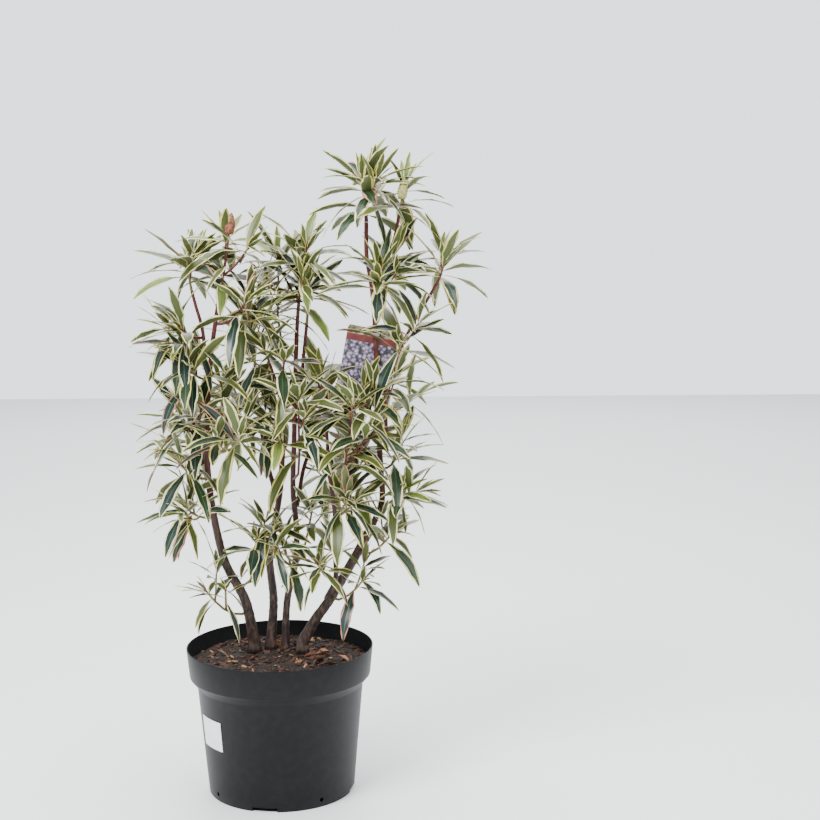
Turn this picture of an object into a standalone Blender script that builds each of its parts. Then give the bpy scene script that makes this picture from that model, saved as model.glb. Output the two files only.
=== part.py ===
"""Potted variegated pontic rhododendron: a leggy young evergreen shrub in a black nursery pot.

Several bare stems rise from the compost, lean apart and carry whorls of narrow leaves.
Every stem and bough is one tapering limb, and every spray is one closed body of twigs and
leaves that keeps to its own space. Metres, +Z up, the origin under the middle of the pot.
"""

import math
import random
from collections import namedtuple

import bmesh
import bpy
from mathutils import Quaternion, Vector
from mathutils.bvhtree import BVHTree

# Pot, with its stepped collar
POT_HEIGHT = 0.211
POT_RIM_RADIUS = 0.134
POT_COLLAR_FOOT_RADIUS = 0.130
POT_COLLAR_HEIGHT = 0.041
POT_STEP_HEIGHT = 0.0135
POT_BODY_TOP_RADIUS = 0.1190
POT_BASE_RADIUS = 0.105
POT_WALL = 0.0016
POT_FLOOR = 0.002
POT_EDGE = 0.0012
POT_SIDES = 36

# Drainage notches and holes at the foot of the wall
NOTCH_COUNT = 4
NOTCH_WIDTH = 0.036
NOTCH_HEIGHT = 0.006
NOTCH_DEPTH = 0.009
NOTCH_HEADING = -99.0
DRAIN_RADIUS = 0.003
DRAIN_HEIGHT = 0.011

# Compost: level where the stems stand, a little lower at the wall
COMPOST_LEVEL = 0.192
COMPOST_EDGE_LEVEL = 0.188
COMPOST_FLAT_RADIUS = 0.085

# Blank sticker on the pot's left side
LABEL_THICKNESS = 0.0004
LABEL_LOW = 0.080
LABEL_HIGH = 0.123
LABEL_HEADINGS = (-157.0, -132.0)
LABEL_COLUMNS = 6

# Hang-tag looped round the right-hand stem
TAG_WIDTH = 0.070
TAG_HEIGHT = 0.088
TAG_THICKNESS = 0.0008
TAG_CORNER = 0.005
TAG_TILT = 13.0
TAG_SHIFT = -0.0045
TAG_SHARE = 0.645
TAG_LOOP_CLEARANCE = 0.0006
TAG_LOOP_WALL = 0.0022
TAG_LOOP_BAND = 0.005

# Clearances between touching pieces
GAP = 0.0003
LEAF_CLEARANCE = 0.0006
WELD = 0.000001

# Taper and sides of the tubes
LIMB_TAPER = 1.5
LIMB_SIDES = 8
TWIG_SIDES = 3

# Growth rule
GOLDEN_TURN = math.radians(137.5)
LEAF_LENGTH = 0.094
LOW_LEAF_SHARE = 0.62
LOW_HEIGHT = 0.230
FULL_HEIGHT = 0.480
LEAF_WIDTH_SHARE = 0.27
LEAF_KEEL_SHARE = 0.011
TWIG_RADIUS = 0.0021
ROOT_SINK = 0.0004
TWIG_TIP_RADIUS = 0.0015
SPREAD_YOUNG = 32.0
SPREAD_OLD = 98.0
DROOP_YOUNG = 22.0
DROOP_OLD = 52.0
WHORL_DEPTH = 0.020
TIER_SHARE = 0.45
FORK_ANGLE = 52.0
SPACE_MARGIN = 0.112
DODGES = (0.0, 12.0, -12.0, 24.0, -24.0, 36.0, -36.0, 50.0, -50.0)
OWN_SHARE = 0.5
NUDGES = (0.0, 0.00003, -0.00003, 0.00007, -0.00007)

FLOWER_BUD = (0.025, 0.0055)
LEAF_BUD = (0.021, 0.0026)

# Limbs: what carries each, points on its middle line, its radius at the foot and at the tip.
# A stem that carries "compost" stands on the compost with a flared foot.
Limb = namedtuple("Limb", "name carrier points foot_radius tip_radius")
LIMBS = (
    Limb("stem_left", "compost", ((-0.040, 0.032), (-0.051, 0.018, 0.272), (-0.078, 0.004, 0.335),
                                  (-0.093, -0.012, 0.426), (-0.096, -0.022, 0.513),
                                  (-0.087, -0.028, 0.627), (-0.075, -0.030, 0.704)), 0.0088, 0.0031),
    Limb("stem_middle_left", "compost", ((-0.017, 0.044), (-0.012, 0.044, 0.265), (-0.017, 0.048, 0.324),
                                         (-0.011, 0.054, 0.368), (-0.001, 0.060, 0.426),
                                         (0.004, 0.066, 0.499)), 0.0075, 0.0041),
    Limb("stem_middle", "compost", ((0.005, 0.034), (0.009, 0.032, 0.268), (0.022, 0.026, 0.326),
                                    (0.025, 0.022, 0.374), (0.021, 0.018, 0.434), (0.024, 0.015, 0.507),
                                    (0.027, 0.014, 0.593), (0.030, 0.014, 0.657)), 0.0058, 0.0033),
    Limb("stem_right", "compost", ((0.030, 0.024), (0.050, 0.022, 0.241), (0.073, 0.019, 0.274),
                                   (0.105, 0.012, 0.329), (0.133, 0.006, 0.380)), 0.0084, 0.0066),
    Limb("stem_right_upper", "stem_right", (1.0, (0.149, 0.002, 0.421), (0.148, -0.004, 0.466),
                                            (0.146, -0.009, 0.510), (0.146, -0.012, 0.553),
                                            (0.143, -0.015, 0.624), (0.141, -0.016, 0.687),
                                            (0.137, -0.017, 0.731), (0.131, -0.017, 0.771),
                                            (0.131, -0.017, 0.816)), 0.0047, 0.0030),
    Limb("stem_middle_right", "stem_right", (0.44, (0.081, 0.002, 0.305), (0.082, -0.010, 0.345),
                                             (0.082, -0.020, 0.412), (0.075, -0.027, 0.471),
                                             (0.074, -0.028, 0.502)), 0.0043, 0.0028),
    Limb("bough_left", "stem_left", (0.86, (-0.098, -0.026, 0.669), (-0.107, -0.022, 0.702),
                                     (-0.112, -0.020, 0.721)), 0.0028, 0.0022),
    Limb("bough_back_left", "stem_middle_left", (0.76, (-0.024, 0.090, 0.473), (-0.037, 0.115, 0.544),
                                                 (-0.041, 0.125, 0.603)), 0.0036, 0.0027),
    Limb("bough_back_right", "stem_middle", (0.47, (0.035, 0.065, 0.462), (0.053, 0.100, 0.501)),
         0.0034, 0.0027),
    Limb("bough_middle_twin", "stem_middle", (0.83, (0.039, 0.006, 0.620), (0.045, 0.004, 0.672)),
         0.0028, 0.0024),
    Limb("bough_right_arm", "stem_right_upper", (0.79, (0.161, -0.020, 0.767), (0.171, -0.022, 0.798),
                                                 (0.176, -0.023, 0.824)), 0.0028, 0.0023),
    Limb("bough_right_out", "stem_right_upper", (0.31, (0.157, -0.016, 0.586), (0.171, -0.020, 0.625),
                                                 (0.190, -0.024, 0.667), (0.213, -0.028, 0.706),
                                                 (0.228, -0.030, 0.731)), 0.0027, 0.0022),
)

# Sprays: the limb that carries each and where along it, the leader's heading from +X towards +Y,
# its rise and length, its side twigs, its older whorls, the leaves of a whorl and its end bud.
Spray = namedtuple("Spray", "name limb share heading rise length forks tiers leaves bud")
SPRAYS = (
    Spray("spray_top", "stem_right_upper", 1.0, 180, 85, 0.058, 1, 1, 10, None),
    Spray("spray_top_right", "bough_right_arm", 1.0, 0, 80, 0.025, 0, 0, 10, FLOWER_BUD),
    Spray("spray_right_out_top", "bough_right_out", 1.0, 0, 70, 0.025, 0, 0, 10, None),
    Spray("spray_left_top", "stem_left", 1.0, 0, 80, 0.100, 1, 1, 9, FLOWER_BUD),
    Spray("spray_left_shoulder", "bough_left", 1.0, 140, 80, 0.040, 1, 0, 11, LEAF_BUD),
    Spray("spray_middle_top", "stem_middle", 1.0, -20, 85, 0.120, 2, 1, 9, LEAF_BUD),
    Spray("spray_right_out_mid", "bough_right_out", 0.53, -80, 35, 0.035, 0, 0, 8, None),
    Spray("spray_right_fork", "stem_right_upper", 0.73, -75, 55, 0.065, 2, 0, 10, None),
    Spray("spray_left_outer", "bough_left", 0.33, -130, 20, 0.040, 1, 0, 9, None),
    Spray("spray_left_high", "stem_left", 0.80, -120, 25, 0.045, 0, 0, 10, None),
    Spray("spray_left_middle", "stem_left", 0.63, -130, 45, 0.055, 1, 0, 9, None),
    Spray("spray_left_low", "stem_left", 0.53, -140, 30, 0.045, 0, 0, 9, None),
    Spray("spray_left_hanging", "stem_left", 0.42, -140, 25, 0.045, 2, 0, 7, None),
    Spray("spray_low_left", "stem_left", 0.12, -150, 35, 0.070, 1, 0, 6, None),
    Spray("spray_low_gap", "stem_left", 0.20, -60, 55, 0.100, 0, 0, 6, None),
    Spray("spray_right_low_out", "stem_right", 0.83, -15, 35, 0.055, 0, 0, 6, None),
    Spray("spray_right_foot", "stem_right", 0.46, -45, 30, 0.070, 0, 0, 6, None),
    Spray("spray_right_low", "stem_right_upper", 0.09, -50, 30, 0.040, 0, 0, 8, None),
    Spray("spray_right_mid", "stem_right_upper", 0.21, -45, 35, 0.035, 0, 0, 8, None),
    Spray("spray_right_face", "stem_right_upper", 0.39, -110, 20, 0.045, 1, 0, 9, None),
    Spray("spray_middle_upper", "stem_middle", 0.95, 130, 75, 0.140, 0, 1, 8, LEAF_BUD),
    Spray("spray_middle_twin", "bough_middle_twin", 1.0, -45, 85, 0.055, 1, 0, 8, None),
    Spray("spray_left_upper", "stem_left", 0.95, -35, 30, 0.060, 1, 0, 7, None),
    Spray("spray_mid_right_top", "stem_middle_right", 1.0, 120, 80, 0.100, 1, 1, 9, None),
    Spray("spray_mid_right_low", "stem_middle_right", 0.54, -75, 55, 0.055, 1, 0, 8, None),
    Spray("spray_mid_right_foot", "stem_middle_right", 0.18, -120, 35, 0.050, 0, 0, 8, None),
    Spray("spray_front_right", "stem_middle_right", 0.75, -65, 60, 0.150, 1, 1, 8, None),
    Spray("spray_left_front", "stem_left", 0.61, -60, 15, 0.115, 1, 0, 8, None),
    Spray("spray_middle_cheek", "stem_middle", 0.80, -130, 55, 0.095, 1, 0, 8, None),
    Spray("spray_middle_front", "stem_middle", 0.56, -80, 55, 0.155, 1, 1, 8, None),
    Spray("spray_middle_left_front", "stem_middle_left", 0.48, -90, 35, 0.100, 1, 0, 8, None),
    Spray("spray_middle_low", "stem_middle", 0.30, -105, 30, 0.050, 0, 0, 5, None),
    Spray("spray_middle_thin", "stem_middle", 0.28, 30, 70, 0.080, 0, 0, 6, None),
    Spray("spray_middle_left_top", "stem_middle_left", 1.0, -140, 75, 0.045, 2, 0, 9, None),
    Spray("spray_right_inner", "stem_right", 0.93, 120, 80, 0.140, 0, 1, 7, None),
    Spray("spray_right_back", "stem_right_upper", 0.33, 80, 35, 0.115, 1, 0, 8, None),
    Spray("spray_left_inner", "stem_left", 0.66, 65, 40, 0.090, 1, 1, 8, None),
    Spray("spray_left_back", "stem_left", 0.59, 110, 20, 0.120, 1, 1, 8, None),
    Spray("spray_back_left_top", "bough_back_left", 1.0, 130, 85, 0.050, 2, 0, 9, None),
    Spray("spray_back_left_side", "bough_back_left", 0.52, 145, 25, 0.080, 1, 0, 8, None),
    Spray("spray_back_right_top", "bough_back_right", 1.0, 55, 60, 0.050, 2, 0, 9, None),
    Spray("spray_back_right_side", "bough_back_right", 0.54, 50, 5, 0.085, 1, 0, 8, None),
)

Leaf = namedtuple("Leaf", "root heading rise length droop sweep roll")
Twig = namedtuple("Twig", "line foot_radius tip_radius")
Bud = namedtuple("Bud", "foot axis length radius")

# Colours as red, green and blue, with roughness
FINISHES = {
    "bark": ((0.085, 0.060, 0.045), 0.85),
    "young_bark": ((0.110, 0.035, 0.030), 0.60),
    "leaf": ((0.070, 0.110, 0.045), 0.38),
    "pot_plastic": ((0.012, 0.013, 0.015), 0.45),
    "peat": ((0.020, 0.013, 0.009), 0.95),
    "sticker": ((0.780, 0.790, 0.800), 0.50),
    "tag_card": ((0.330, 0.300, 0.360), 0.40),
}


def clear_scene():
    for item in list(bpy.data.objects):
        bpy.data.objects.remove(item, do_unlink=True)


def new_collection(name):
    group = bpy.data.collections.new(name)
    bpy.context.scene.collection.children.link(group)
    return group


def make_finish(name):
    colour, roughness = FINISHES[name]
    material = bpy.data.materials.new(name)
    material.use_nodes = True
    shader = material.node_tree.nodes["Principled BSDF"]
    shader.inputs["Base Color"].default_value = (*colour, 1.0)
    shader.inputs["Roughness"].default_value = roughness
    shader.inputs["Metallic"].default_value = 0.0
    return material


def add_object(name, mesh, group, material=None):
    item = bpy.data.objects.new(name, mesh)
    group.objects.link(item)
    if material is not None:
        mesh.materials.clear()
        mesh.materials.append(material)
    return item


def mesh_from(bm, name):
    mesh = bpy.data.meshes.new(name)
    bm.to_mesh(mesh)
    bm.free()
    return mesh


def evaluated_mesh(item):
    """A plain copy of an object's shape as its modifiers leave it."""
    bpy.context.view_layer.update()
    depsgraph = bpy.context.evaluated_depsgraph_get()
    return bpy.data.meshes.new_from_object(item.evaluated_get(depsgraph))


def tree_of(mesh):
    bm = bmesh.new()
    bm.from_mesh(mesh)
    tree = BVHTree.FromBMesh(bm)
    bm.free()
    return tree


def aim(heading, rise):
    """Unit vector from a heading round +Z and a rise above the level, in degrees."""
    turn = math.radians(heading)
    lift = math.radians(rise)
    return Vector((math.cos(lift) * math.cos(turn), math.cos(lift) * math.sin(turn), math.sin(lift)))


def smooth_line(points, steps):
    """Catmull-Rom line through the points, with so many steps between two of them."""
    ends = [points[0] * 2 - points[1], *points, points[-1] * 2 - points[-2]]
    line = []
    for before, start, end, after in zip(ends, ends[1:], ends[2:], ends[3:]):
        for step in range(steps):
            t = step / steps
            line.append(0.5 * (2 * start + (end - before) * t
                               + (2 * before - 5 * start + 4 * end - after) * t ** 2
                               + (3 * start - before - 3 * end + after) * t ** 3))
    line.append(points[-1])
    return line


def point_along(line, share):
    """The point at a share of a line's length, and the line's direction there."""
    lengths = [(b - a).length for a, b in zip(line, line[1:])]
    left = share * sum(lengths)
    for start, end, length in zip(line, line[1:], lengths):
        if left <= length:
            return start.lerp(end, left / length), (end - start).normalized()
        left -= length
    return line[-1].copy(), (line[-1] - line[-2]).normalized()


def across(axis, turn):
    """Unit vector square to an axis, turned round it by an angle from the level."""
    level = axis.cross(Vector((0, 0, 1)))
    if level.length < 0.05:
        level = axis.cross(Vector((0, 1, 0)))
    return Quaternion(axis, turn) @ level.normalized()


def ring_curve(sides):
    """Closed ring of straight sides, the cross-section of a tube."""
    curve = bpy.data.curves.new("ring", "CURVE")
    spline = curve.splines.new("POLY")
    spline.points.add(sides - 1)
    for index, point in enumerate(spline.points):
        turn = 2 * math.pi * index / sides
        point.co = (math.cos(turn), math.sin(turn), 0.0, 1.0)
    spline.use_cyclic_u = True
    return bpy.data.objects.new("ring", curve)


def tube_mesh(name, line, radii, sides):
    """Closed tube on a line, from a curve with a ring for its bevel and a radius at each point."""
    curve = bpy.data.curves.new(name, "CURVE")
    curve.dimensions = "3D"
    curve.bevel_mode = "OBJECT"
    curve.bevel_object = ring_curve(sides)
    curve.use_fill_caps = True
    spline = curve.splines.new("POLY")
    spline.points.add(len(line) - 1)
    for point, place, radius in zip(spline.points, line, radii):
        point.co = (*place, 1.0)
        point.radius = radius
    item = bpy.data.objects.new(name, curve)
    ring = curve.bevel_object
    bpy.context.scene.collection.objects.link(item)
    bpy.context.scene.collection.objects.link(ring)
    mesh = evaluated_mesh(item)
    bpy.data.objects.remove(item)
    bpy.data.objects.remove(ring)
    bm = bmesh.new()
    bm.from_mesh(mesh)
    bmesh.ops.remove_doubles(bm, verts=bm.verts, dist=0.00001)
    bmesh.ops.recalc_face_normals(bm, faces=bm.faces)
    bm.to_mesh(mesh)
    bm.free()
    mesh.shade_smooth()
    return mesh


def turned(name, profile, group, material):
    """Turned body: the profile runs from the axis, over the top, down the outside to the axis."""
    bm = bmesh.new()
    verts = [bm.verts.new((radius, 0, height)) for radius, height in profile]
    for start, end in zip(verts, verts[1:]):
        bm.edges.new((start, end))
    item = add_object(name, mesh_from(bm, name), group, material)
    screw = item.modifiers.new("turn", "SCREW")
    screw.steps = POT_SIDES
    screw.render_steps = POT_SIDES
    screw.use_merge_vertices = True
    screw.merge_threshold = 0.00005
    screw.use_smooth_shade = True
    return item


def outer_radius(height):
    """Radius of the pot's body below its step."""
    share = height / (POT_HEIGHT - POT_COLLAR_HEIGHT - POT_STEP_HEIGHT)
    return POT_BASE_RADIUS + (POT_BODY_TOP_RADIUS - POT_BASE_RADIUS) * share


def make_pot(group, cutters):
    collar_foot = POT_HEIGHT - POT_COLLAR_HEIGHT
    body_top = collar_foot - POT_STEP_HEIGHT
    profile = (
        (0.0, POT_FLOOR),
        (outer_radius(POT_FLOOR) - POT_WALL - POT_EDGE, POT_FLOOR),
        (outer_radius(POT_FLOOR) - POT_WALL, POT_FLOOR + POT_EDGE),
        (POT_BODY_TOP_RADIUS - POT_WALL, body_top + POT_WALL / 2),
        (POT_COLLAR_FOOT_RADIUS - POT_WALL, collar_foot + POT_WALL / 2),
        (POT_RIM_RADIUS - POT_WALL, POT_HEIGHT - POT_EDGE / 2),
        (POT_RIM_RADIUS - POT_WALL / 2, POT_HEIGHT),
        (POT_RIM_RADIUS, POT_HEIGHT - POT_EDGE / 2),
        (POT_COLLAR_FOOT_RADIUS, collar_foot + POT_EDGE / 2),
        (POT_COLLAR_FOOT_RADIUS - POT_EDGE, collar_foot - POT_EDGE),
        (POT_BODY_TOP_RADIUS, body_top),
        (POT_BASE_RADIUS, POT_EDGE),
        (POT_BASE_RADIUS - POT_EDGE, 0.0),
        (0.0, 0.0),
    )
    pot = turned("pot", profile, group, make_finish("pot_plastic"))
    for index in range(NOTCH_COUNT):
        add_notch(cutters, NOTCH_HEADING + 360 * index / NOTCH_COUNT)
        add_drain(cutters, NOTCH_HEADING + 360 * (index + 0.5) / NOTCH_COUNT)
    cut = pot.modifiers.new("drainage", "BOOLEAN")
    cut.operation = "DIFFERENCE"
    cut.solver = "EXACT"
    cut.operand_type = "COLLECTION"
    cut.collection = cutters
    return pot


def add_notch(cutters, heading):
    """Box that lifts the wall's foot clear of the ground."""
    bpy.ops.mesh.primitive_cube_add(size=1)
    cutter = bpy.context.active_object
    cutter.name = "notch_cutter"
    cutter.scale = (NOTCH_DEPTH, NOTCH_WIDTH, NOTCH_HEIGHT * 2)
    cutter.location = aim(heading, 0) * (POT_BASE_RADIUS - NOTCH_DEPTH * 0.1)
    cutter.rotation_euler.z = math.radians(heading)
    hide_cutter(cutter, cutters)


def add_drain(cutters, heading):
    """Round hole through the wall near its foot."""
    bpy.ops.mesh.primitive_cylinder_add(vertices=8, radius=DRAIN_RADIUS, depth=NOTCH_DEPTH)
    cutter = bpy.context.active_object
    cutter.name = "drain_cutter"
    cutter.location = aim(heading, 0) * (POT_BASE_RADIUS - POT_WALL) + Vector((0, 0, DRAIN_HEIGHT))
    cutter.rotation_euler = (0, math.pi / 2, math.radians(heading))
    hide_cutter(cutter, cutters)


def hide_cutter(cutter, cutters):
    for group in cutter.users_collection:
        group.objects.unlink(cutter)
    cutters.objects.link(cutter)
    cutter.hide_render = True
    cutter.display_type = "WIRE"


def make_compost(group):
    collar_foot = POT_HEIGHT - POT_COLLAR_HEIGHT
    body_top = collar_foot - POT_STEP_HEIGHT
    inset = POT_WALL + GAP
    collar_share = (COMPOST_EDGE_LEVEL - collar_foot) / POT_COLLAR_HEIGHT
    edge_radius = POT_COLLAR_FOOT_RADIUS + (POT_RIM_RADIUS - POT_COLLAR_FOOT_RADIUS) * collar_share
    profile = (
        (0.0, COMPOST_LEVEL),
        (COMPOST_FLAT_RADIUS, COMPOST_LEVEL),
        (edge_radius - inset - GAP, COMPOST_EDGE_LEVEL),
        (POT_COLLAR_FOOT_RADIUS - inset - GAP, collar_foot + POT_WALL),
        (POT_BODY_TOP_RADIUS - inset - GAP, body_top + POT_WALL),
        (outer_radius(POT_FLOOR) - inset - GAP, POT_FLOOR + POT_EDGE + GAP),
        (outer_radius(POT_FLOOR) - inset - POT_EDGE - GAP, POT_FLOOR + GAP),
        (0.0, POT_FLOOR + GAP),
    )
    return turned("compost", profile, group, make_finish("peat"))


def make_label(group):
    """Bare sticker that follows the pot's tapering side."""
    bm = bmesh.new()
    bmesh.ops.create_grid(bm, x_segments=LABEL_COLUMNS, y_segments=1, size=0.5)
    low_heading, high_heading = LABEL_HEADINGS
    for vert in bm.verts:
        heading = low_heading + (high_heading - low_heading) * (vert.co.x + 0.5)
        height = LABEL_LOW + (LABEL_HIGH - LABEL_LOW) * (vert.co.y + 0.5)
        vert.co = aim(heading, 0) * (outer_radius(height) + GAP) + Vector((0, 0, height))
    skin = list(bm.faces)
    outer = bmesh.ops.extrude_face_region(bm, geom=skin)["geom"]
    for vert in (part for part in outer if isinstance(part, bmesh.types.BMVert)):
        vert.co += Vector((vert.co.x, vert.co.y, 0)).normalized() * LABEL_THICKNESS
    bmesh.ops.recalc_face_normals(bm, faces=bm.faces)
    return add_object("pot_label", mesh_from(bm, "pot_label"), group, make_finish("sticker"))


def make_tag(group, limb_line, limb_radius):
    """Rounded card on a loop round a stem, hanging at a tilt just behind it."""
    place, axis = point_along(limb_line, TAG_SHARE)
    back = Vector((0, 1, 0))
    back = (back - axis * back.dot(axis)).normalized()
    right = axis.cross(back) * -1
    tilt = Quaternion(back, math.radians(TAG_TILT))
    bore = limb_radius + TAG_LOOP_CLEARANCE
    bm = bmesh.new()
    bmesh.ops.create_cube(bm, size=1)
    for vert in bm.verts:
        vert.co.x *= TAG_WIDTH
        vert.co.y *= TAG_THICKNESS
        vert.co.z *= TAG_HEIGHT
    corners = [edge for edge in bm.edges if abs(edge.verts[0].co.y - edge.verts[1].co.y) > TAG_THICKNESS / 2]
    bmesh.ops.bevel(bm, geom=corners, offset=TAG_CORNER, segments=3, profile=0.5, affect="EDGES", material=-1)
    for vert in bm.verts:
        local = right * (vert.co.x + TAG_SHIFT) + axis * (vert.co.z - TAG_HEIGHT * 0.42)
        vert.co = place + tilt @ local + back * (bore + TAG_LOOP_WALL * 0.7 + vert.co.y)
    card = add_object("name_tag", mesh_from(bm, "name_tag"), group, make_finish("tag_card"))
    loop = bmesh.new()
    bmesh.ops.create_circle(loop, segments=12, radius=bore)
    inner = list(loop.edges)
    outer = bmesh.ops.extrude_edge_only(loop, edges=inner)["geom"]
    for vert in (part for part in outer if isinstance(part, bmesh.types.BMVert)):
        vert.co *= (bore + TAG_LOOP_WALL) / bore
    washer = bmesh.ops.extrude_face_region(loop, geom=list(loop.faces))["geom"]
    for vert in (part for part in washer if isinstance(part, bmesh.types.BMVert)):
        vert.co.z += TAG_LOOP_BAND
    turn = Vector((0, 0, 1)).rotation_difference(axis)
    for vert in loop.verts:
        vert.co = place + turn @ (vert.co - Vector((0, 0, TAG_LOOP_BAND / 2)))
    bmesh.ops.recalc_face_normals(loop, faces=loop.faces)
    band = add_object("tag_loop", mesh_from(loop, "tag_loop"), group)
    fuse(card, [band])
    return card


def fuse(target, pieces):
    """Join closed pieces into a target by one union on a collection, and drop the pieces."""
    heap = new_collection("heap")
    for piece in pieces:
        for group in piece.users_collection:
            group.objects.unlink(piece)
        heap.objects.link(piece)
    union = target.modifiers.new("union", "BOOLEAN")
    union.operation = "UNION"
    union.operand_type = "COLLECTION"
    union.collection = heap
    plain = target.data
    union.solver = "EXACT"
    for nudge in NUDGES:
        for index, piece in enumerate(pieces):
            piece.location = Vector((0.8, -0.5, 0.3)) * nudge * (1 + index % 3)
        joined = one_body(evaluated_mesh(target), plain.name)
        if joined is not None:
            break
    target.modifiers.remove(union)
    if joined is not None:
        target.data = joined
    for piece in pieces:
        bpy.data.objects.remove(piece)
    bpy.data.collections.remove(heap)


def one_body(mesh, name):
    """The largest closed shell of a mesh, or None if it isn't closed."""
    bm = bmesh.new()
    bm.from_mesh(mesh)
    bmesh.ops.remove_doubles(bm, verts=bm.verts, dist=WELD)
    bmesh.ops.triangulate(bm, faces=bm.faces)
    shells = sorted(shells_of(bm), key=len)
    for shell in shells[:-1]:
        bmesh.ops.delete(bm, geom=shell, context="FACES")
    closed = all(edge.is_manifold for edge in bm.edges) and bm.calc_volume() > 0
    bm.to_mesh(mesh)
    bm.free()
    mesh.name = name
    return mesh if closed else None


def shells_of(bm):
    """Groups of faces that hang together across their edges."""
    waiting = set(bm.faces)
    shells = []
    while waiting:
        front = [waiting.pop()]
        shell = list(front)
        while front:
            for edge in front.pop().edges:
                for face in edge.link_faces:
                    if face in waiting:
                        waiting.remove(face)
                        front.append(face)
                        shell.append(face)
        shells.append(shell)
    return shells


def limb_radii(limb, line):
    """Taper that slows towards the tip, with a flare where a stem stands on the compost."""
    radii = []
    for index in range(len(line)):
        share = index / (len(line) - 1)
        radius = limb.tip_radius + (limb.foot_radius - limb.tip_radius) * (1 - share) ** LIMB_TAPER
        if limb.carrier == "compost":
            height = line[index].z - line[0].z
            radius *= 1 + 0.32 * math.exp(-height / 0.012)
        radii.append(radius)
    return radii


def seat_on(carrier, share, towards):
    """A spot 0.3 mm off a limb's bark, and the square direction there: its tip or its side."""
    line = carrier["line"]
    place, axis = point_along(line, share)
    if share >= 1.0:
        return place + axis * GAP, axis
    out = (towards - axis * towards.dot(axis)).normalized()
    hit, normal, _, _ = carrier["tree"].ray_cast(place + out * 0.03, -out)
    return hit + normal * GAP, normal


def grow_limb(limb, limbs, group, material):
    if limb.carrier == "compost":
        x, y = limb.points[0]
        foot = Vector((x, y, COMPOST_LEVEL + GAP))
        path = [foot, foot + Vector((0, 0, 0.012)), *map(Vector, limb.points[1:])]
        line = smooth_line(path, 2)
        line = [foot, foot + Vector((0, 0, 0.006)), *line[2:]]
    else:
        carrier = limbs[limb.carrier]
        share = limb.points[0]
        first = Vector(limb.points[1])
        start, _ = point_along(carrier["line"], share)
        seat, square = seat_on(carrier, share, first - start)
        root = seat + square * 0.006
        line = [seat, *smooth_line([root, *map(Vector, limb.points[1:])], 2)]
    radii = limb_radii(limb, line)
    mesh = tube_mesh(limb.name, line, radii, LIMB_SIDES)
    add_object(limb.name, mesh, group, material)
    limbs[limb.name] = {"line": line, "tree": tree_of(mesh), "radii": radii}
    return mesh


def leader_line(start, square, heading, rise, length, steps):
    """Middle line of a shoot: it leaves the bark square, heads off and turns up at its end."""
    way = aim(heading, rise)
    end = start + way * length
    first = start + square * length * 0.3
    last = end - (way + Vector((0, 0, 0.6))).normalized() * length * 0.35
    line = [start, start + square * 0.003]
    for step in range(1, steps + 1):
        t = step / steps
        near = start.lerp(first, t).lerp(first.lerp(last, t), t)
        far = first.lerp(last, t).lerp(last.lerp(end, t), t)
        line.append(near.lerp(far, t))
    return line


def fork_line(leader, share, turn, length, steps):
    """Middle line of a side twig that starts inside its leader and curves upwards."""
    root, axis = point_along(leader, share)
    angle = math.radians(FORK_ANGLE)
    way = axis * math.cos(angle) + across(axis, turn) * math.sin(angle)
    line = [root]
    for step in range(steps):
        way = (way + Vector((0, 0, 0.22))).normalized()
        line.append(line[-1] + way * length / steps)
    return line


def whorl(line, behind, count, size, age, rng):
    """Leaves round a shoot, from a distance behind its tip: the youngest stand up in the middle,
    the oldest spread and hang."""
    length = sum((b - a).length for a, b in zip(line, line[1:]))
    leaves = []
    start = rng.uniform(0, 2 * math.pi)
    for index in range(count):
        elder = (index + age * count) / (count - 1 + age * count)
        back = behind + min(WHORL_DEPTH, length * 0.6) * elder
        place, axis = point_along(line, max(0.15, 1 - (back + TWIG_RADIUS) / length))
        spread = SPREAD_YOUNG + (SPREAD_OLD - SPREAD_YOUNG) * elder + rng.uniform(-9, 9)
        side = across(axis, start + index * GOLDEN_TURN + rng.uniform(-0.2, 0.2))
        way = axis * math.cos(math.radians(spread)) + side * math.sin(math.radians(spread))
        heading = math.degrees(math.atan2(way.y, way.x))
        rise = math.degrees(math.asin(max(-1.0, min(1.0, way.z))))
        reach = size * (0.80 + 0.22 * elder) * rng.uniform(0.86, 1.10)
        droop = DROOP_YOUNG + (DROOP_OLD - DROOP_YOUNG) * elder + rng.uniform(-12, 12)
        leaves.append(Leaf(place - way * ROOT_SINK, heading, rise, reach, min(droop, rise + 85),
                           rng.uniform(-14, 14), rng.uniform(-24, 24)))
    return leaves


def spray_plan(spray, start, square, foot_radius):
    """The shoots of one spray, each with its leaves, and its buds, all from its own seed."""
    rng = random.Random(spray.name)
    leader = leader_line(start, square, spray.heading, spray.rise, spray.length, 4)
    tip, axis = point_along(leader, 1.0)
    ripe = max(0.0, min(1.0, (tip.z - LOW_HEIGHT) / (FULL_HEIGHT - LOW_HEIGHT)))
    size = LEAF_LENGTH * (LOW_LEAF_SHARE + (1 - LOW_LEAF_SHARE) * ripe)
    leaves = whorl(leader, 0.0, spray.leaves, size, 0.0, rng)
    buds = [Bud(tip, axis, *spray.bud)] if spray.bud else []
    for _ in range(spray.tiers):
        leaves += whorl(leader, spray.length * TIER_SHARE, spray.leaves - 3, size, 0.35, rng)
    shoots = [(Twig(leader, foot_radius, TWIG_TIP_RADIUS), leaves)]
    turn = rng.uniform(0, 2 * math.pi)
    for index in range(spray.forks):
        length = min(max(spray.length * rng.uniform(0.5, 0.8), 0.034), 0.070)
        line = fork_line(leader, 0.4 + 0.22 * index, turn + index * GOLDEN_TURN, length, 3)
        leaves = whorl(line, 0.0, spray.leaves - 2, size * 0.92, 0.0, rng)
        shoots.append((Twig(line, TWIG_RADIUS * 0.85, TWIG_TIP_RADIUS), leaves))
    return shoots, buds


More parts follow.
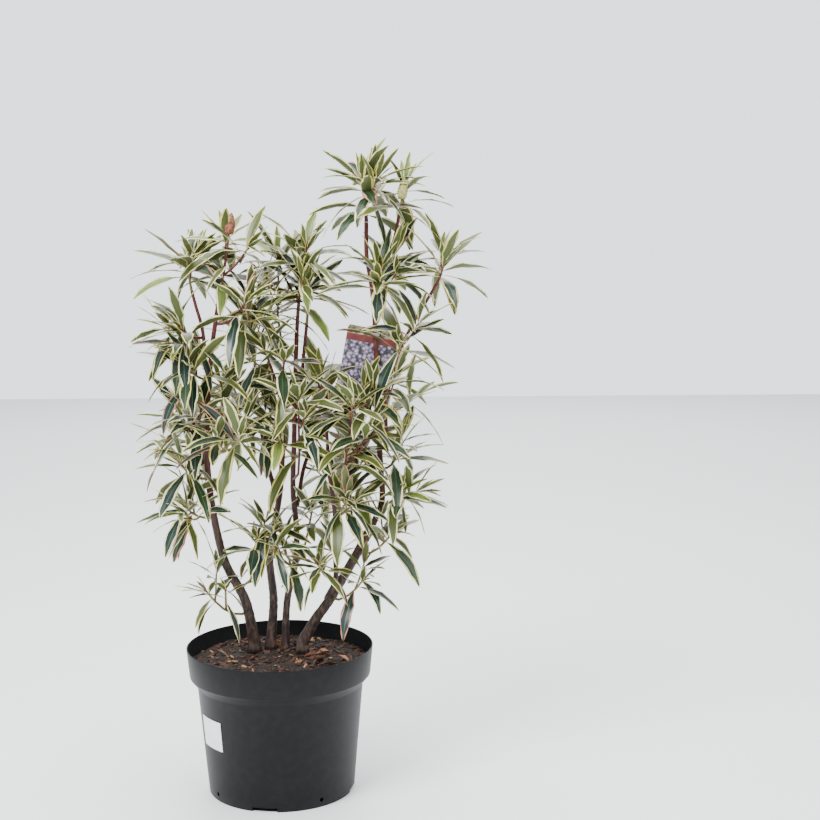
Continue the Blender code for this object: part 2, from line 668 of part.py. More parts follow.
def leaf_stations(leaf, count):
    """Places along an arching leaf, each with its forward, side and upward direction."""
    fine = 6
    place = leaf.root.copy()
    stations = []
    for step in range(count * fine + 1):
        share = step / (count * fine)
        heading = leaf.heading + leaf.sweep * share
        forward = aim(heading, leaf.rise - leaf.droop * share)
        if step % fine == 0:
            turn = Quaternion(forward, math.radians(leaf.roll))
            side = turn @ aim(heading + 90, 0)
            stations.append((place.copy(), forward, side, forward.cross(side)))
        place += forward * leaf.length / (count * fine)
    return stations


def leaf_mesh(leaf, free=0.0, margin=0.0):
    """Leaf as a three-sided double cone, bent along its middle line and pressed flat. A free share
    leaves out that much of its near half, and a margin widens and lengthens it."""
    stations = leaf_stations(leaf, 2)
    half = leaf.length * LEAF_WIDTH_SHARE / 2 + margin
    keel = leaf.length * LEAF_KEEL_SHARE
    bm = bmesh.new()
    bmesh.ops.create_uvsphere(bm, u_segments=3, v_segments=2, radius=1)
    for vert in bm.verts:
        place, forward, side, up = stations[round(vert.co.z + 1)]
        turn = math.atan2(vert.co.y, vert.co.x) - math.pi / 2
        if abs(vert.co.z) < 0.5:
            vert.co = place + side * math.cos(turn) * half / 0.866 + up * math.sin(turn) * keel
        elif vert.co.z < 0:
            vert.co = place.lerp(stations[1][0], free)
        else:
            vert.co = place + forward * margin
    bmesh.ops.recalc_face_normals(bm, faces=bm.faces)
    return bm


def leaf_space(leaf):
    """Search tree of the room a leaf needs: itself, raised and lowered by the clearance."""
    up = leaf_stations(leaf, 2)[1][3]
    bm = leaf_mesh(leaf, 0.0, LEAF_CLEARANCE)
    faces = [[vert.index for vert in face.verts] for face in bm.faces]
    verts = [vert.co.copy() for vert in bm.verts]
    bm.free()
    room = []
    corners = []
    for lift in (-LEAF_CLEARANCE, 0.0, LEAF_CLEARANCE):
        corners += [[index + len(room) for index in face] for face in faces]
        room += [vert + up * lift for vert in verts]
    return BVHTree.FromPolygons(room, corners)


def bud_mesh(bud):
    """Pointed egg on a twig's end, its foot sunk in the twig."""
    bm = bmesh.new()
    bmesh.ops.create_uvsphere(bm, u_segments=6, v_segments=4, radius=1)
    turn = Vector((0, 0, 1)).rotation_difference(bud.axis)
    for vert in bm.verts:
        height = (vert.co.z + 1) / 2
        waist = 1.15 - 0.55 * height
        local = Vector((vert.co.x * bud.radius * waist, vert.co.y * bud.radius * waist,
                        (height - 0.12) * bud.length))
        vert.co = bud.foot + turn @ local
    return bm


def swollen_tree(bm, margin):
    """Search tree of a mesh pushed out by a margin."""
    bm.normal_update()
    places = [vert.co + vert.normal * margin for vert in bm.verts]
    for vert, place in zip(bm.verts, places):
        vert.co = place
    return BVHTree.FromBMesh(bm)


def leaf_that_fits(leaf, taken, own, centre, reach):
    """The leaf, turned aside if another piece or leaf is in its way, or None where nothing helps."""
    for dodge in DODGES:
        trial = leaf._replace(heading=leaf.heading + dodge, rise=leaf.rise + abs(dodge) * 0.3)
        tip = leaf_stations(trial, 1)[-1][0]
        if (tip - centre).length > reach:
            continue
        bm = leaf_mesh(trial, OWN_SHARE)
        outer = BVHTree.FromBMesh(bm)
        bm.free()
        if any(outer.overlap(other) for other in own):
            continue
        room = leaf_space(trial)
        if not any(room.overlap(other) for other in taken):
            own.append(outer)
            return trial
    return None


def tube_tree(line, radii, margin):
    mesh = tube_mesh("trial", line, [radius + margin for radius in radii], TWIG_SIDES)
    tree = tree_of(mesh)
    bpy.data.meshes.remove(mesh)
    return tree


def twig_radii(twig):
    steps = len(twig.line) - 1
    return [twig.foot_radius + (twig.tip_radius - twig.foot_radius) * i / steps for i in range(steps + 1)]


def plan_spray(spray, limbs):
    """The shoots and buds of one spray seated on its limb, and the search tree of its leader."""
    carrier = limbs[spray.limb]
    start, square = seat_on(carrier, spray.share, aim(spray.heading, spray.rise))
    foot_radius = carrier["radii"][-1] if spray.share >= 1.0 else TWIG_RADIUS
    shoots, buds = spray_plan(spray, start, square, foot_radius)
    leader = shoots[0][0]
    trees = [tube_tree(leader.line[1:], twig_radii(leader)[1:], LEAF_CLEARANCE)]
    for bud in buds:
        bm = bud_mesh(bud)
        trees.append(swollen_tree(bm, LEAF_CLEARANCE))
        bm.free()
    return shoots, buds, trees


def drop_crossed(shoots, trees, taken):
    """Side shoots that meet no other piece, with their search trees added to the spray's."""
    kept = shoots[:1]
    for twig, leaves in shoots[1:]:
        tree = tube_tree(twig.line[1:], twig_radii(twig)[1:], LEAF_CLEARANCE)
        if not any(tree.overlap(other) for other in taken):
            kept.append((twig, leaves))
            trees.append(tree)
    return kept


def grow_spray(spray, shoots, buds, taken, group, material):
    """Join one spray's twigs, buds and the leaves that find room into one closed body."""
    leader = shoots[0][0]
    centre = leader.line[-1]
    reach = SPACE_MARGIN + spray.length * 0.55
    body = add_object(spray.name, tube_mesh(spray.name, leader.line, twig_radii(leader), TWIG_SIDES),
                      group, material)
    pieces = []
    own = []
    for twig, _ in shoots[1:]:
        mesh = tube_mesh("twig", twig.line, twig_radii(twig), TWIG_SIDES)
        pieces.append(add_object("twig", mesh, group))
    for _, leaves in shoots:
        for leaf in leaves:
            fitted = leaf_that_fits(leaf, taken, own, centre, reach)
            if fitted is not None:
                pieces.append(add_object("leaf", mesh_from(leaf_mesh(fitted), "leaf"), group))
    for bud in buds:
        pieces.append(add_object("bud", mesh_from(bud_mesh(bud), "bud"), group))
    fuse(body, pieces)
    body.data.materials.clear()
    body.data.materials.append(material)
    return body


def main():
    clear_scene()
    plant = new_collection("potted variegated pontic rhododendron")
    cutters = new_collection("cutters")
    pot = make_pot(plant, cutters)
    compost = make_compost(plant)
    label = make_label(plant)
    bark = make_finish("bark")
    young_bark = make_finish("young_bark")
    limbs = {}
    taken = [tree_of(evaluated_mesh(item)) for item in (pot, compost, label)]
    for limb in LIMBS:
        grow_limb(limb, limbs, plant, bark if limb.carrier == "compost" else young_bark)
    tag_stem = limbs["stem_right_upper"]
    tag_radius = tag_stem["radii"][round(TAG_SHARE * (len(tag_stem["radii"]) - 1))]
    tag = make_tag(plant, tag_stem["line"], tag_radius)
    taken.append(tree_of(tag.data))
    taken += [limb["tree"] for limb in limbs.values()]
    foliage = make_finish("leaf")
    plans = [(spray, *plan_spray(spray, limbs)) for spray in SPRAYS]
    for index, (spray, shoots, buds, trees) in enumerate(plans):
        wood = [tree for other in plans if other[0] is not spray for tree in other[3]]
        plans[index] = (spray, drop_crossed(shoots, trees, taken + wood), buds, trees)
    for index, (spray, shoots, buds, _) in enumerate(plans):
        wood = [tree for plan in plans[index + 1:] for tree in plan[3]]
        body = grow_spray(spray, shoots, buds, taken + wood, plant, foliage)
        taken.append(tree_of(body.data))


main()
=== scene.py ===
"""Visible model of the potted variegated pontic rhododendron.

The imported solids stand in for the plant's collision. This script dresses them: stems with bark
relief, whorls of narrow cream-edged leaves that grow by the same rule as the solids, buds, a
moulded black nursery pot with loose compost, a bare sticker and a plain picture tag.
Metres, +Z up, the origin under the middle of the pot.
"""

import itertools
import math
import random
from collections import namedtuple

import bmesh
import bpy
from mathutils import Matrix, Quaternion, Vector, noise
from mathutils.bvhtree import BVHTree


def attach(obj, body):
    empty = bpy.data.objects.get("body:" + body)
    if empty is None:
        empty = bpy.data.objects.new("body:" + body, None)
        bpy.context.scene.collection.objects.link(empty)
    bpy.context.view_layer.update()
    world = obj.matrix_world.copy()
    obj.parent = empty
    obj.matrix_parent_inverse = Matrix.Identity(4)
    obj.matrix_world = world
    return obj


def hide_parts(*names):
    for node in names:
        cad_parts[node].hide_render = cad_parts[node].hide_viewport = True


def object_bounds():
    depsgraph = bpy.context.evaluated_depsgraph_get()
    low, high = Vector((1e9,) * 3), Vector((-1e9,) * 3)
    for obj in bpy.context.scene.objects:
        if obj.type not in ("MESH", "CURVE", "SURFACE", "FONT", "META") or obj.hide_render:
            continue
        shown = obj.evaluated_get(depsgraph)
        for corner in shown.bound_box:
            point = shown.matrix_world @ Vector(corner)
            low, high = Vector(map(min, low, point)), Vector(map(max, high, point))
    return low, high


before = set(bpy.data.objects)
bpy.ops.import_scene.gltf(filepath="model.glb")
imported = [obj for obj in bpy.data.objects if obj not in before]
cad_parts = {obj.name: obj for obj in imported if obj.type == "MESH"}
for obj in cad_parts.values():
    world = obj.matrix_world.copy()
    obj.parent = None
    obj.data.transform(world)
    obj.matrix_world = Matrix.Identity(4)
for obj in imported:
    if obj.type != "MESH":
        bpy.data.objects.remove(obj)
solid_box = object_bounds()

# Pot and compost, as in the solids
POT_HEIGHT = 0.211
POT_RIM_RADIUS = 0.134
COLLAR_FOOT_RADIUS = 0.130
POT_COLLAR_HEIGHT = 0.041
POT_STEP_HEIGHT = 0.0135
BODY_TOP_RADIUS = 0.1190
POT_BASE_RADIUS = 0.105
POT_WALL = 0.0016
POT_FLOOR = 0.002
POT_EDGE = 0.0012
POT_SIDES = 96
POT_SHARP_ANGLE = 35
COLLAR_FOOT = POT_HEIGHT - POT_COLLAR_HEIGHT
BODY_TOP = COLLAR_FOOT - POT_STEP_HEIGHT
LIP_STEPS = 6
COLLAR_ROUNDING = 0.0003
COLLAR_DROP_SHARE = 0.8
SHOULDER_BULGE = 0.0006
SHOULDER_ROUNDING = 0.001
FOOT_BULGE = 0.0001
FOOT_ROUNDING = 0.0004
NOTCH_COUNT = 4
NOTCH_WIDTH = 0.036
NOTCH_HEIGHT = 0.006
NOTCH_DEPTH = 0.009
NOTCH_HEADING = -99.0
DRAIN_RADIUS = 0.003
DRAIN_HEIGHT = 0.011
DRAIN_SIDES = 20
CUT_TOP = 0.016
CUT_INSET_SHARE = 0.1
COMPOST_LEVEL = 0.192
COMPOST_EDGE_LEVEL = 0.188
COMPOST_FLAT_RADIUS = 0.085
GAP = 0.0003

# Picture tag
TAG_WIDTH = 0.070
TAG_HEIGHT = 0.088
TAG_THICKNESS = 0.0007
TAG_TILT = 13.0
TAG_SHIFT = -0.0045
TAG_SHARE = 0.645
LOOP_CLEARANCE = 0.0006
LOOP_WALL = 0.0022
TAG_BAND_ROW = 0.26
TAG_STRIP_ROW = 0.37
TAG_ROWS = (-0.5, -0.45, -0.2, 0.05, TAG_BAND_ROW, TAG_STRIP_ROW, 0.46, 0.5)
TAG_COLUMNS = (-0.5, -0.46, -0.2, 0.0, 0.2, 0.46, 0.5)
TAG_DROP_SHARE = 0.42
STAND_OFF_SHARE = 0.7
TAG_BOW = 0.0048
CORNER_SHARE = 0.93
LOOP_STEPS = 28
LOOP_THICKNESS_SHARE = 0.6
LOOP_BAND = 0.0044
TAG_SHARP_ANGLE = 40

# Growth rule, as in the solids
LIMB_STEPS = 2
LIMB_TAPER = 1.5
FOOT_FLARE = 0.32
FLARE_HEIGHT = 0.012
FOOT_RISE = 0.012
FOOT_STRAIGHT = 0.006
BOUGH_STRAIGHT = 0.006
SEAT_PROBE = 0.03
NEARLY_UPRIGHT = 0.05
GOLDEN_TURN = math.radians(137.5)
LEADER_STEPS = 4
LEADER_STUB = 0.003
LEADER_SQUARE_SHARE = 0.3
LEADER_TURN_UP = 0.6
LEADER_END_SHARE = 0.35
LEAF_LENGTH = 0.094
LOW_LEAF_SHARE = 0.62
LOW_HEIGHT = 0.230
FULL_HEIGHT = 0.480
TWIG_RADIUS = 0.0021
TWIG_TIP_RADIUS = 0.0015
ROOT_SINK = 0.0004
SPREAD_YOUNG = 32.0
SPREAD_OLD = 98.0
SPREAD_PLAY = 9.0
TURN_PLAY = 0.2
DROOP_YOUNG = 22.0
DROOP_OLD = 52.0
DROOP_PLAY = 12.0
DROOP_LIMIT = 85.0
YOUNG_LEAF_SHARE = 0.80
OLDER_LEAF_SHARE = 0.22
LEAF_SIZE_PLAY = (0.86, 1.10)
SWEEP_PLAY = 14.0
ROLL_PLAY = 24.0
WHORL_DEPTH = 0.020
WHORL_SHARE = 0.6
WHORL_START = 0.15
TIER_SHARE = 0.45
TIER_AGE = 0.35
TIER_FEWER_LEAVES = 3
FORK_ANGLE = 52.0
FORK_STEPS = 3
FORK_TURN_UP = 0.22
FORK_FIRST_SHARE = 0.4
FORK_SPACING_SHARE = 0.22
FORK_LENGTH_SHARE = (0.5, 0.8)
FORK_LENGTHS = (0.034, 0.070)
FORK_LEAF_SHARE = 0.92
FORK_FEWER_LEAVES = 2
FORK_RADIUS_SHARE = 0.85
SPACE_MARGIN = 0.112
SPACE_LENGTH_SHARE = 0.55
DODGES = (0.0, 12.0, -12.0, 24.0, -24.0, 36.0, -36.0, 50.0, -50.0)
DODGE_LIFT = 0.3
FLOWER_BUD = (0.025, 0.0055)
LEAF_BUD = (0.021, 0.0026)

# Finer growth that only shows close up
EDGE_ROOM = 0.004
TIP_BUD = (0.010, 0.0019)
FAT_BUD_RADIUS = 0.005
LONG_BUD_LENGTH = 0.020
FAT_BUD_LONGER = 1.2
FAT_BUD_WIDER = 1.3
BUD_OPEN_COSINE = 0.48
BUD_STEPS = 12
BUD_SIDES = 12
BUD_SUNK_SHARE = 0.06
BUD_POINT_SHARE = 0.08
BUD_FOOT_SHARE = 0.12
BUD_LOW_POWER = 0.8
BUD_FULL_POWER = 0.7
BUD_SCALE_DEPTH = 0.14
BUD_SCALE_ROWS = 5
BUD_SCALES_ROUND = 3
SHOOT_SIDES = 8
SHOOT_LENGTHS = (0.028, 0.045)
SHOOT_SHARES = (0.45, 0.75)
SHOOT_LEAVES = 7
SHOOT_LEAF_SHARE = 0.84
SHOOT_TIP_SHARE = 0.8
CENTRE_LEAVES = 3
CENTRE_SHARE = 0.97
CENTRE_LEANS = (12, 26)
CENTRE_SIZES = (0.34, 0.58)
CENTRE_DROOPS = (4, 22)
CENTRE_ROLL = 25

# Leaf: shares of its length along it, shares of its half-width across it
COURSE_STEPS = 24
LEAF_STATIONS = (0.0, 0.06, 0.13, 0.23, 0.35, 0.48, 0.61, 0.74, 0.86, 0.95, 1.0)
OUTER_STATIONS = (0.35, 0.65, 0.95)
ROOM_STATIONS = (0.15, 0.5, 0.95)
ROOM_WIDTH_SHARE = 0.9
LEAF_COLUMNS = 8
HALF_WIDTH_SHARE = 0.112
STALK_SHARE = 0.08
STALK_HALF_WIDTH = 0.07
POINT_HALF_WIDTH = 0.05
WIDEST_POWER = 0.9
FULLNESS_POWER = 0.72
LEAF_THICKNESS = 0.00045
LEAF_FOLD = 0.24
FOLD_PLAY = (0.4, 1.3)
TWIST_PLAY = 16
RAGGED_EDGE = (0.84, 1.06)
MARGIN_SHARE = (0.12, 0.52)
MARGIN_MOST = 1.6
MARGIN_EVEN = 0.8
MARGIN_NARROW = 0.3
RIB_COLUMN = 0.06
MIDDLE_COLUMN = 0.45
EDGE_CURL = 0.10
RIPPLE = 0.10
RIPPLE_TURNS = 15
RIPPLE_LAG = 1.3
LOOSE_TURN = 6.28

# Bark relief
BARK_STEPS = 16
BARK_SIDES = 20
OLD_BARK_TOP = 0.42
OLD_BARK_FADE = 0.2
FURROWS_ROUND = 2.2
FURROWS_PER_METRE = (60, 150)
FURROW_GRAIN = 1.4
FURROW_DEPTHS = (0.05, 0.14)
SCARS_TURN_PER_METRE = 420
SCAR_DEPTH = 0.05
SCAR_SHARPNESS = 6
BARK_SHRINK = 0.97

# Compost surface and what lies on it
COMPOST_RINGS = 56
COMPOST_SIDES = 150
COMPOST_OVERLAP = 0.0014
COMPOST_FOOT_SHARE = 0.985
COMPOST_FOOT = 0.172
CLODS_PER_METRE = 45
CLOD_HEIGHT = 0.0028
CRUMBS_PER_METRE = 230
CRUMB_HEIGHT = 0.0012
COMPOST_SETTLED = 0.0005
CHIP_COUNT = 620
CHIP_REACH = 0.122
CHIP_LENGTHS = (0.003, 0.012)
CHIP_WIDTH_SHARES = (0.3, 0.6)
CHIP_THICKNESSES = (0.0006, 0.002)
CHIP_TILTS = (0.35, 0.25)
CHIP_RAGGED = (-0.35, 0.2)
CHIP_LIFT = 0.0006
CHIP_FACES = ((0, 1, 3, 2), (4, 6, 7, 5), (0, 4, 5, 1), (2, 3, 7, 6), (0, 2, 6, 4), (1, 5, 7, 3))
CHIP_TONES = ("chip_dark", "chip_brown", "chip_red", "chip_pale")
CHIP_CHANCES = (5, 5, 2, 1)
DRY_LEAF_COUNT = 17
DRY_LEAF_REACH = 0.112
DRY_LEAF_LIFT = 0.004
DRY_LEAF_PATCHES = (((-0.10, 0.03), (-0.095, 0.08)), ((0.035, 0.105), (-0.085, 0.02)))
# Lowest and highest heading, rise, length, droop, sweep and roll
DRY_LEAF_LIMITS = ((0, 360), (8, 24), (0.022, 0.046), (25, 60), (-50, 50), (-40, 40))

# Tones, with how often each is drawn, and the joined piece that takes each spray's leaves
LEAF_TONES = ("leaf_dark", "leaf_green", "leaf_olive", "leaf_young")
MOODS = ((5, 3, 2, 0), (3, 4, 2, 1), (2, 3, 4, 1), (1, 3, 4, 2))
MARGIN_TONES = ("cream", "yellow", "pink")
MARGIN_CHANCES = (12, 5, 1)
RED_SHOOT_HEIGHT = 0.5
RED_SHOOT_CHANCE = 0.7
GROUPS = {"leaves_left": ("spray_left", "spray_low", "spray_back_left"),
          "leaves_middle": ("spray_middle", "spray_back_right", "spray_mid_right", "spray_front"),
          "leaves_right": ("spray_right", "spray_top")}

# Materials: mark, name, roughness and colours. Those of several colours wander between them, with
# the grain and the relief in millimetres and the detail of the noise.
MATERIALS = (
    # Thick evergreen blade under a skin of wax, which gives the deep green a soft gloss
    ("leaf_dark", "waxy_dark_leaf", 0.30, ("#0f2727",)),
    ("leaf_green", "waxy_green_leaf", 0.33, ("#1d3524",)),
    ("leaf_olive", "waxy_olive_leaf", 0.37, ("#454f20",)),
    # Newest blade, thin and light, with less wax and so less gloss
    ("leaf_young", "young_leaf", 0.42, ("#62742f",)),
    # Margin whose cells hold no green: cream, yellow on some leaves, flushed pink on a few
    ("cream", "cream_margin", 0.42, ("#f3ecb0",)),
    ("yellow", "yellow_margin", 0.42, ("#dfd477",)),
    ("pink", "pink_margin", 0.46, ("#c08a72",)),
    # Pale vein along the middle, and the stalk that it grows from
    ("rib", "pale_midrib", 0.42, ("#4a5d31",)),
    ("stalk", "leaf_stalk", 0.50, ("#8f8f55",)),
    # Underside without wax, so it looks flat and dull
    ("underside", "matt_leaf_underside", 0.56, ("#505c2e",)),
    # Fallen leaf that has dried brown and lost its gloss
    ("dry", "dry_leaf", 0.72, ("#5a2a18",)),
    ("dry_pale", "pale_dry_leaf", 0.72, ("#8d5a36",)),
    # Soft wood of the last year, green or flushed red, finely pitted
    ("shoot", "green_shoot", 0.50, ("#5d5a30", "#77703f", "#8d6a48"), 3.333, 0.2),
    ("red_shoot", "red_shoot", 0.45, ("#3c1413", "#5a231e", "#763a2e"), 3.333, 0.2),
    # Bud scales, small dull leaves that lie over each other
    ("flower_bud", "scaly_flower_bud", 0.55, ("#5c2c20", "#804634", "#a0694c"), 2.381, 0.3),
    ("leaf_bud", "pale_leaf_bud", 0.50, ("#8b8a4c", "#a9a566", "#c4bf88"), 2.381, 0.2),
    ("red_bud", "red_tip_bud", 0.48, ("#571c1a", "#7c2a26", "#95504a"), 2.381, 0.2),
    # Bark chopped for mulch: rough, with no gloss, and darker where it is wet
    ("chip_dark", "wet_bark_chip", 0.85, ("#150c08", "#2a1a13", "#33211a"), 1.429, 0.4),
    ("chip_brown", "bark_chip", 0.85, ("#38221a", "#4c2f20", "#5e4031"), 1.429, 0.4),
    ("chip_red", "red_bark_chip", 0.85, ("#3f2117", "#5a3122", "#6d4330"), 1.429, 0.4),
    ("chip_pale", "dry_bark_chip", 0.88, ("#7d6144", "#9a7a58", "#af9270"), 1.429, 0.4),
    # Peat compost: loose crumbs from black to brown, quite matt
    ("peat", "moist_peat", 0.95, ("#0d0907", "#1c120d", "#3a2519"), 3.030, 1.5, 8.0),
    # Moulded polypropylene: near black and even, with a low sheen and a little dust
    ("pot", "moulded_polypropylene", 0.44, ("#050607", "#08090b", "#0c0e10"), 11.11, 0.1, 3.0),
    # Coated paper: white with the faintest cloud of grey
    ("paper", "coated_paper", 0.45, ("#e2e6e9", "#eef0f1"), 16.67, 0.02, 2.0),
    # Plain fields on the card: a red band and a dull strip, both glossy ink
    ("band", "printed_band", 0.32, ("#742a29", "#8a3a34"), 8.333, 0.01, 2.0),
    ("strip", "printed_strip", 0.34, ("#3b4234", "#8b876c", "#c9c2a6"), 5.882, 0.01, 3.0),
    # Pale plastic of the loop and of the card's back, smooth and faintly clouded
    ("loop", "pale_loop_plastic", 0.30, ("#bfc3c7", "#d5d8db"), 12.5, 0.01, 2.0),
)
POT_SPECULAR = 0.2

# Colour over a noise's range, the heights where bark turns young, and a colour mix node's sockets
MOTTLE_RANGE = (0.34, 0.66)
YOUNG_BARK_HEIGHTS = (0.34, 0.56)
MIX_FACTOR = 0
MIX_FIRST = 6
MIX_SECOND = 7
MIX_RESULT = 2

# Stage: each lamp's name, place, size and power. Camera: place, lens and turn from the photograph
FLOOR_REACH = 4.5
LAMP_TARGET = (0.03, 0, 0.45)
LAMPS = (("key", (-1.4, -1.8, 2.6), 1.5, 150.0), ("fill", (2.2, -1.8, 1.6), 2.0, 30.0),
         ("top", (0.2, 0.6, 2.8), 2.0, 70.0), ("back", (0.2, 3.9, 2.6), 3.0, 90.0))
CAMERA_PLACE = (0.1917, -2.2074, 0.8496)
CAMERA_LENS = 69.06
CAMERA_SHIFT = (-0.0015, -0.0165)
CAMERA_DOWN = 7.21
CAMERA_ROLL = -0.0064

# Limbs: what carries each, its radius at the foot and at the tip, and points on its middle line.
# A stem that carries "compost" stands on the compost with a flared foot.
Limb = namedtuple("Limb", "name carrier foot_radius tip_radius points")
LIMBS = [Limb(*row) for row in (
    ("stem_left", "compost", 0.0088, 0.0031, (
        (-0.040, 0.032), (-0.051, 0.018, 0.272), (-0.078, 0.004, 0.335), (-0.093, -0.012, 0.426),
        (-0.096, -0.022, 0.513), (-0.087, -0.028, 0.627), (-0.075, -0.030, 0.704))),
    ("stem_middle_left", "compost", 0.0075, 0.0041, (
        (-0.017, 0.044), (-0.012, 0.044, 0.265), (-0.017, 0.048, 0.324), (-0.011, 0.054, 0.368),
        (-0.001, 0.060, 0.426), (0.004, 0.066, 0.499))),
    ("stem_middle", "compost", 0.0058, 0.0033, (
        (0.005, 0.034), (0.009, 0.032, 0.268), (0.022, 0.026, 0.326), (0.025, 0.022, 0.374),
        (0.021, 0.018, 0.434), (0.024, 0.015, 0.507), (0.027, 0.014, 0.593), (0.030, 0.014, 0.657))),
    ("stem_right", "compost", 0.0084, 0.0066, (
        (0.030, 0.024), (0.050, 0.022, 0.241), (0.073, 0.019, 0.274), (0.105, 0.012, 0.329),
        (0.133, 0.006, 0.380))),
    ("stem_right_upper", "stem_right", 0.0047, 0.0030, (
        1.0, (0.149, 0.002, 0.421), (0.148, -0.004, 0.466), (0.146, -0.009, 0.510),
        (0.146, -0.012, 0.553), (0.143, -0.015, 0.624), (0.141, -0.016, 0.687), (0.137, -0.017, 0.731),
        (0.131, -0.017, 0.771), (0.131, -0.017, 0.816))),
    ("stem_middle_right", "stem_right", 0.0043, 0.0028, (
        0.44, (0.081, 0.002, 0.305), (0.082, -0.010, 0.345), (0.082, -0.020, 0.412),
        (0.075, -0.027, 0.471), (0.074, -0.028, 0.502))),
    ("bough_left", "stem_left", 0.0028, 0.0022, (
        0.86, (-0.098, -0.026, 0.669), (-0.107, -0.022, 0.702), (-0.112, -0.020, 0.721))),
    ("bough_back_left", "stem_middle_left", 0.0036, 0.0027, (
        0.76, (-0.024, 0.090, 0.473), (-0.037, 0.115, 0.544), (-0.041, 0.125, 0.603))),
    ("bough_back_right", "stem_middle", 0.0034, 0.0027, (
        0.47, (0.035, 0.065, 0.462), (0.053, 0.100, 0.501))),
    ("bough_middle_twin", "stem_middle", 0.0028, 0.0024, (
        0.83, (0.039, 0.006, 0.620), (0.045, 0.004, 0.672))),
    ("bough_right_arm", "stem_right_upper", 0.0028, 0.0023, (
        0.79, (0.161, -0.020, 0.767), (0.171, -0.022, 0.798), (0.176, -0.023, 0.824))),
    ("bough_right_out", "stem_right_upper", 0.0027, 0.0022, (
        0.31, (0.157, -0.016, 0.586), (0.171, -0.020, 0.625), (0.190, -0.024, 0.667),
        (0.213, -0.028, 0.706), (0.228, -0.030, 0.731))),
)]

# Sprays: the limb that carries each and where along it, the leader's heading from +X towards +Y,
# its rise and length, its side twigs, its older whorls, the leaves of a whorl and its end bud.
Spray = namedtuple("Spray", "name limb share heading rise length forks tiers leaves bud",
                   defaults=[None])
SPRAYS = [Spray("spray_" + name, *growth) for name, *growth in (
    ("top", "stem_right_upper", 1.0, 180, 85, 0.058, 1, 1, 10),
    ("top_right", "bough_right_arm", 1.0, 0, 80, 0.025, 0, 0, 10, FLOWER_BUD),
    ("right_out_top", "bough_right_out", 1.0, 0, 70, 0.025, 0, 0, 10),
    ("left_top", "stem_left", 1.0, 0, 80, 0.100, 1, 1, 9, FLOWER_BUD),
    ("left_shoulder", "bough_left", 1.0, 140, 80, 0.040, 1, 0, 11, LEAF_BUD),
    ("middle_top", "stem_middle", 1.0, -20, 85, 0.120, 2, 1, 9, LEAF_BUD),
    ("right_out_mid", "bough_right_out", 0.53, -80, 35, 0.035, 0, 0, 8),
    ("right_fork", "stem_right_upper", 0.73, -75, 55, 0.065, 2, 0, 10),
    ("left_outer", "bough_left", 0.33, -130, 20, 0.040, 1, 0, 9),
    ("left_high", "stem_left", 0.80, -120, 25, 0.045, 0, 0, 10),
    ("left_middle", "stem_left", 0.63, -130, 45, 0.055, 1, 0, 9),
    ("left_low", "stem_left", 0.53, -140, 30, 0.045, 0, 0, 9),
    ("left_hanging", "stem_left", 0.42, -140, 25, 0.045, 2, 0, 7),
    ("low_left", "stem_left", 0.12, -150, 35, 0.070, 1, 0, 6),
    ("low_gap", "stem_left", 0.20, -60, 55, 0.100, 0, 0, 6),
    ("right_low_out", "stem_right", 0.83, -15, 35, 0.055, 0, 0, 6),
    ("right_foot", "stem_right", 0.46, -45, 30, 0.070, 0, 0, 6),
    ("right_low", "stem_right_upper", 0.09, -50, 30, 0.040, 0, 0, 8),
    ("right_mid", "stem_right_upper", 0.21, -45, 35, 0.035, 0, 0, 8),
    ("right_face", "stem_right_upper", 0.39, -110, 20, 0.045, 1, 0, 9),
    ("middle_upper", "stem_middle", 0.95, 130, 75, 0.140, 0, 1, 8, LEAF_BUD),
    ("middle_twin", "bough_middle_twin", 1.0, -45, 85, 0.055, 1, 0, 8),
    ("left_upper", "stem_left", 0.95, -35, 30, 0.060, 1, 0, 7),
    ("mid_right_top", "stem_middle_right", 1.0, 120, 80, 0.100, 1, 1, 9),
    ("mid_right_low", "stem_middle_right", 0.54, -75, 55, 0.055, 1, 0, 8),
    ("mid_right_foot", "stem_middle_right", 0.18, -120, 35, 0.050, 0, 0, 8),
    ("front_right", "stem_middle_right", 0.75, -65, 60, 0.150, 1, 1, 8),
    ("left_front", "stem_left", 0.61, -60, 15, 0.115, 1, 0, 8),
    ("middle_cheek", "stem_middle", 0.80, -130, 55, 0.095, 1, 0, 8),
    ("middle_front", "stem_middle", 0.56, -80, 55, 0.155, 1, 1, 8),
    ("middle_left_front", "stem_middle_left", 0.48, -90, 35, 0.100, 1, 0, 8),
    ("middle_low", "stem_middle", 0.30, -105, 30, 0.050, 0, 0, 5),
    ("middle_thin", "stem_middle", 0.28, 30, 70, 0.080, 0, 0, 6),
    ("middle_left_top", "stem_middle_left", 1.0, -140, 75, 0.045, 2, 0, 9),
    ("right_inner", "stem_right", 0.93, 120, 80, 0.140, 0, 1, 7),
    ("right_back", "stem_right_upper", 0.33, 80, 35, 0.115, 1, 0, 8),
    ("left_inner", "stem_left", 0.66, 65, 40, 0.090, 1, 1, 8),
    ("left_back", "stem_left", 0.59, 110, 20, 0.120, 1, 1, 8),
    ("back_left_top", "bough_back_left", 1.0, 130, 85, 0.050, 2, 0, 9),
    ("back_left_side", "bough_back_left", 0.52, 145, 25, 0.080, 1, 0, 8),
    ("back_right_top", "bough_back_right", 1.0, 55, 60, 0.050, 2, 0, 9),
    ("back_right_side", "bough_back_right", 0.54, 50, 5, 0.085, 1, 0, 8),
)]

Leaf = namedtuple("Leaf", "root heading rise length droop sweep roll")
Twig = namedtuple("Twig", "line foot_radius tip_radius")
Bud = namedtuple("Bud", "foot axis length radius")


def held(value, low=0.0, high=1.0):
    """The value, no lower and no higher than the limits."""
    return max(low, min(high, value))


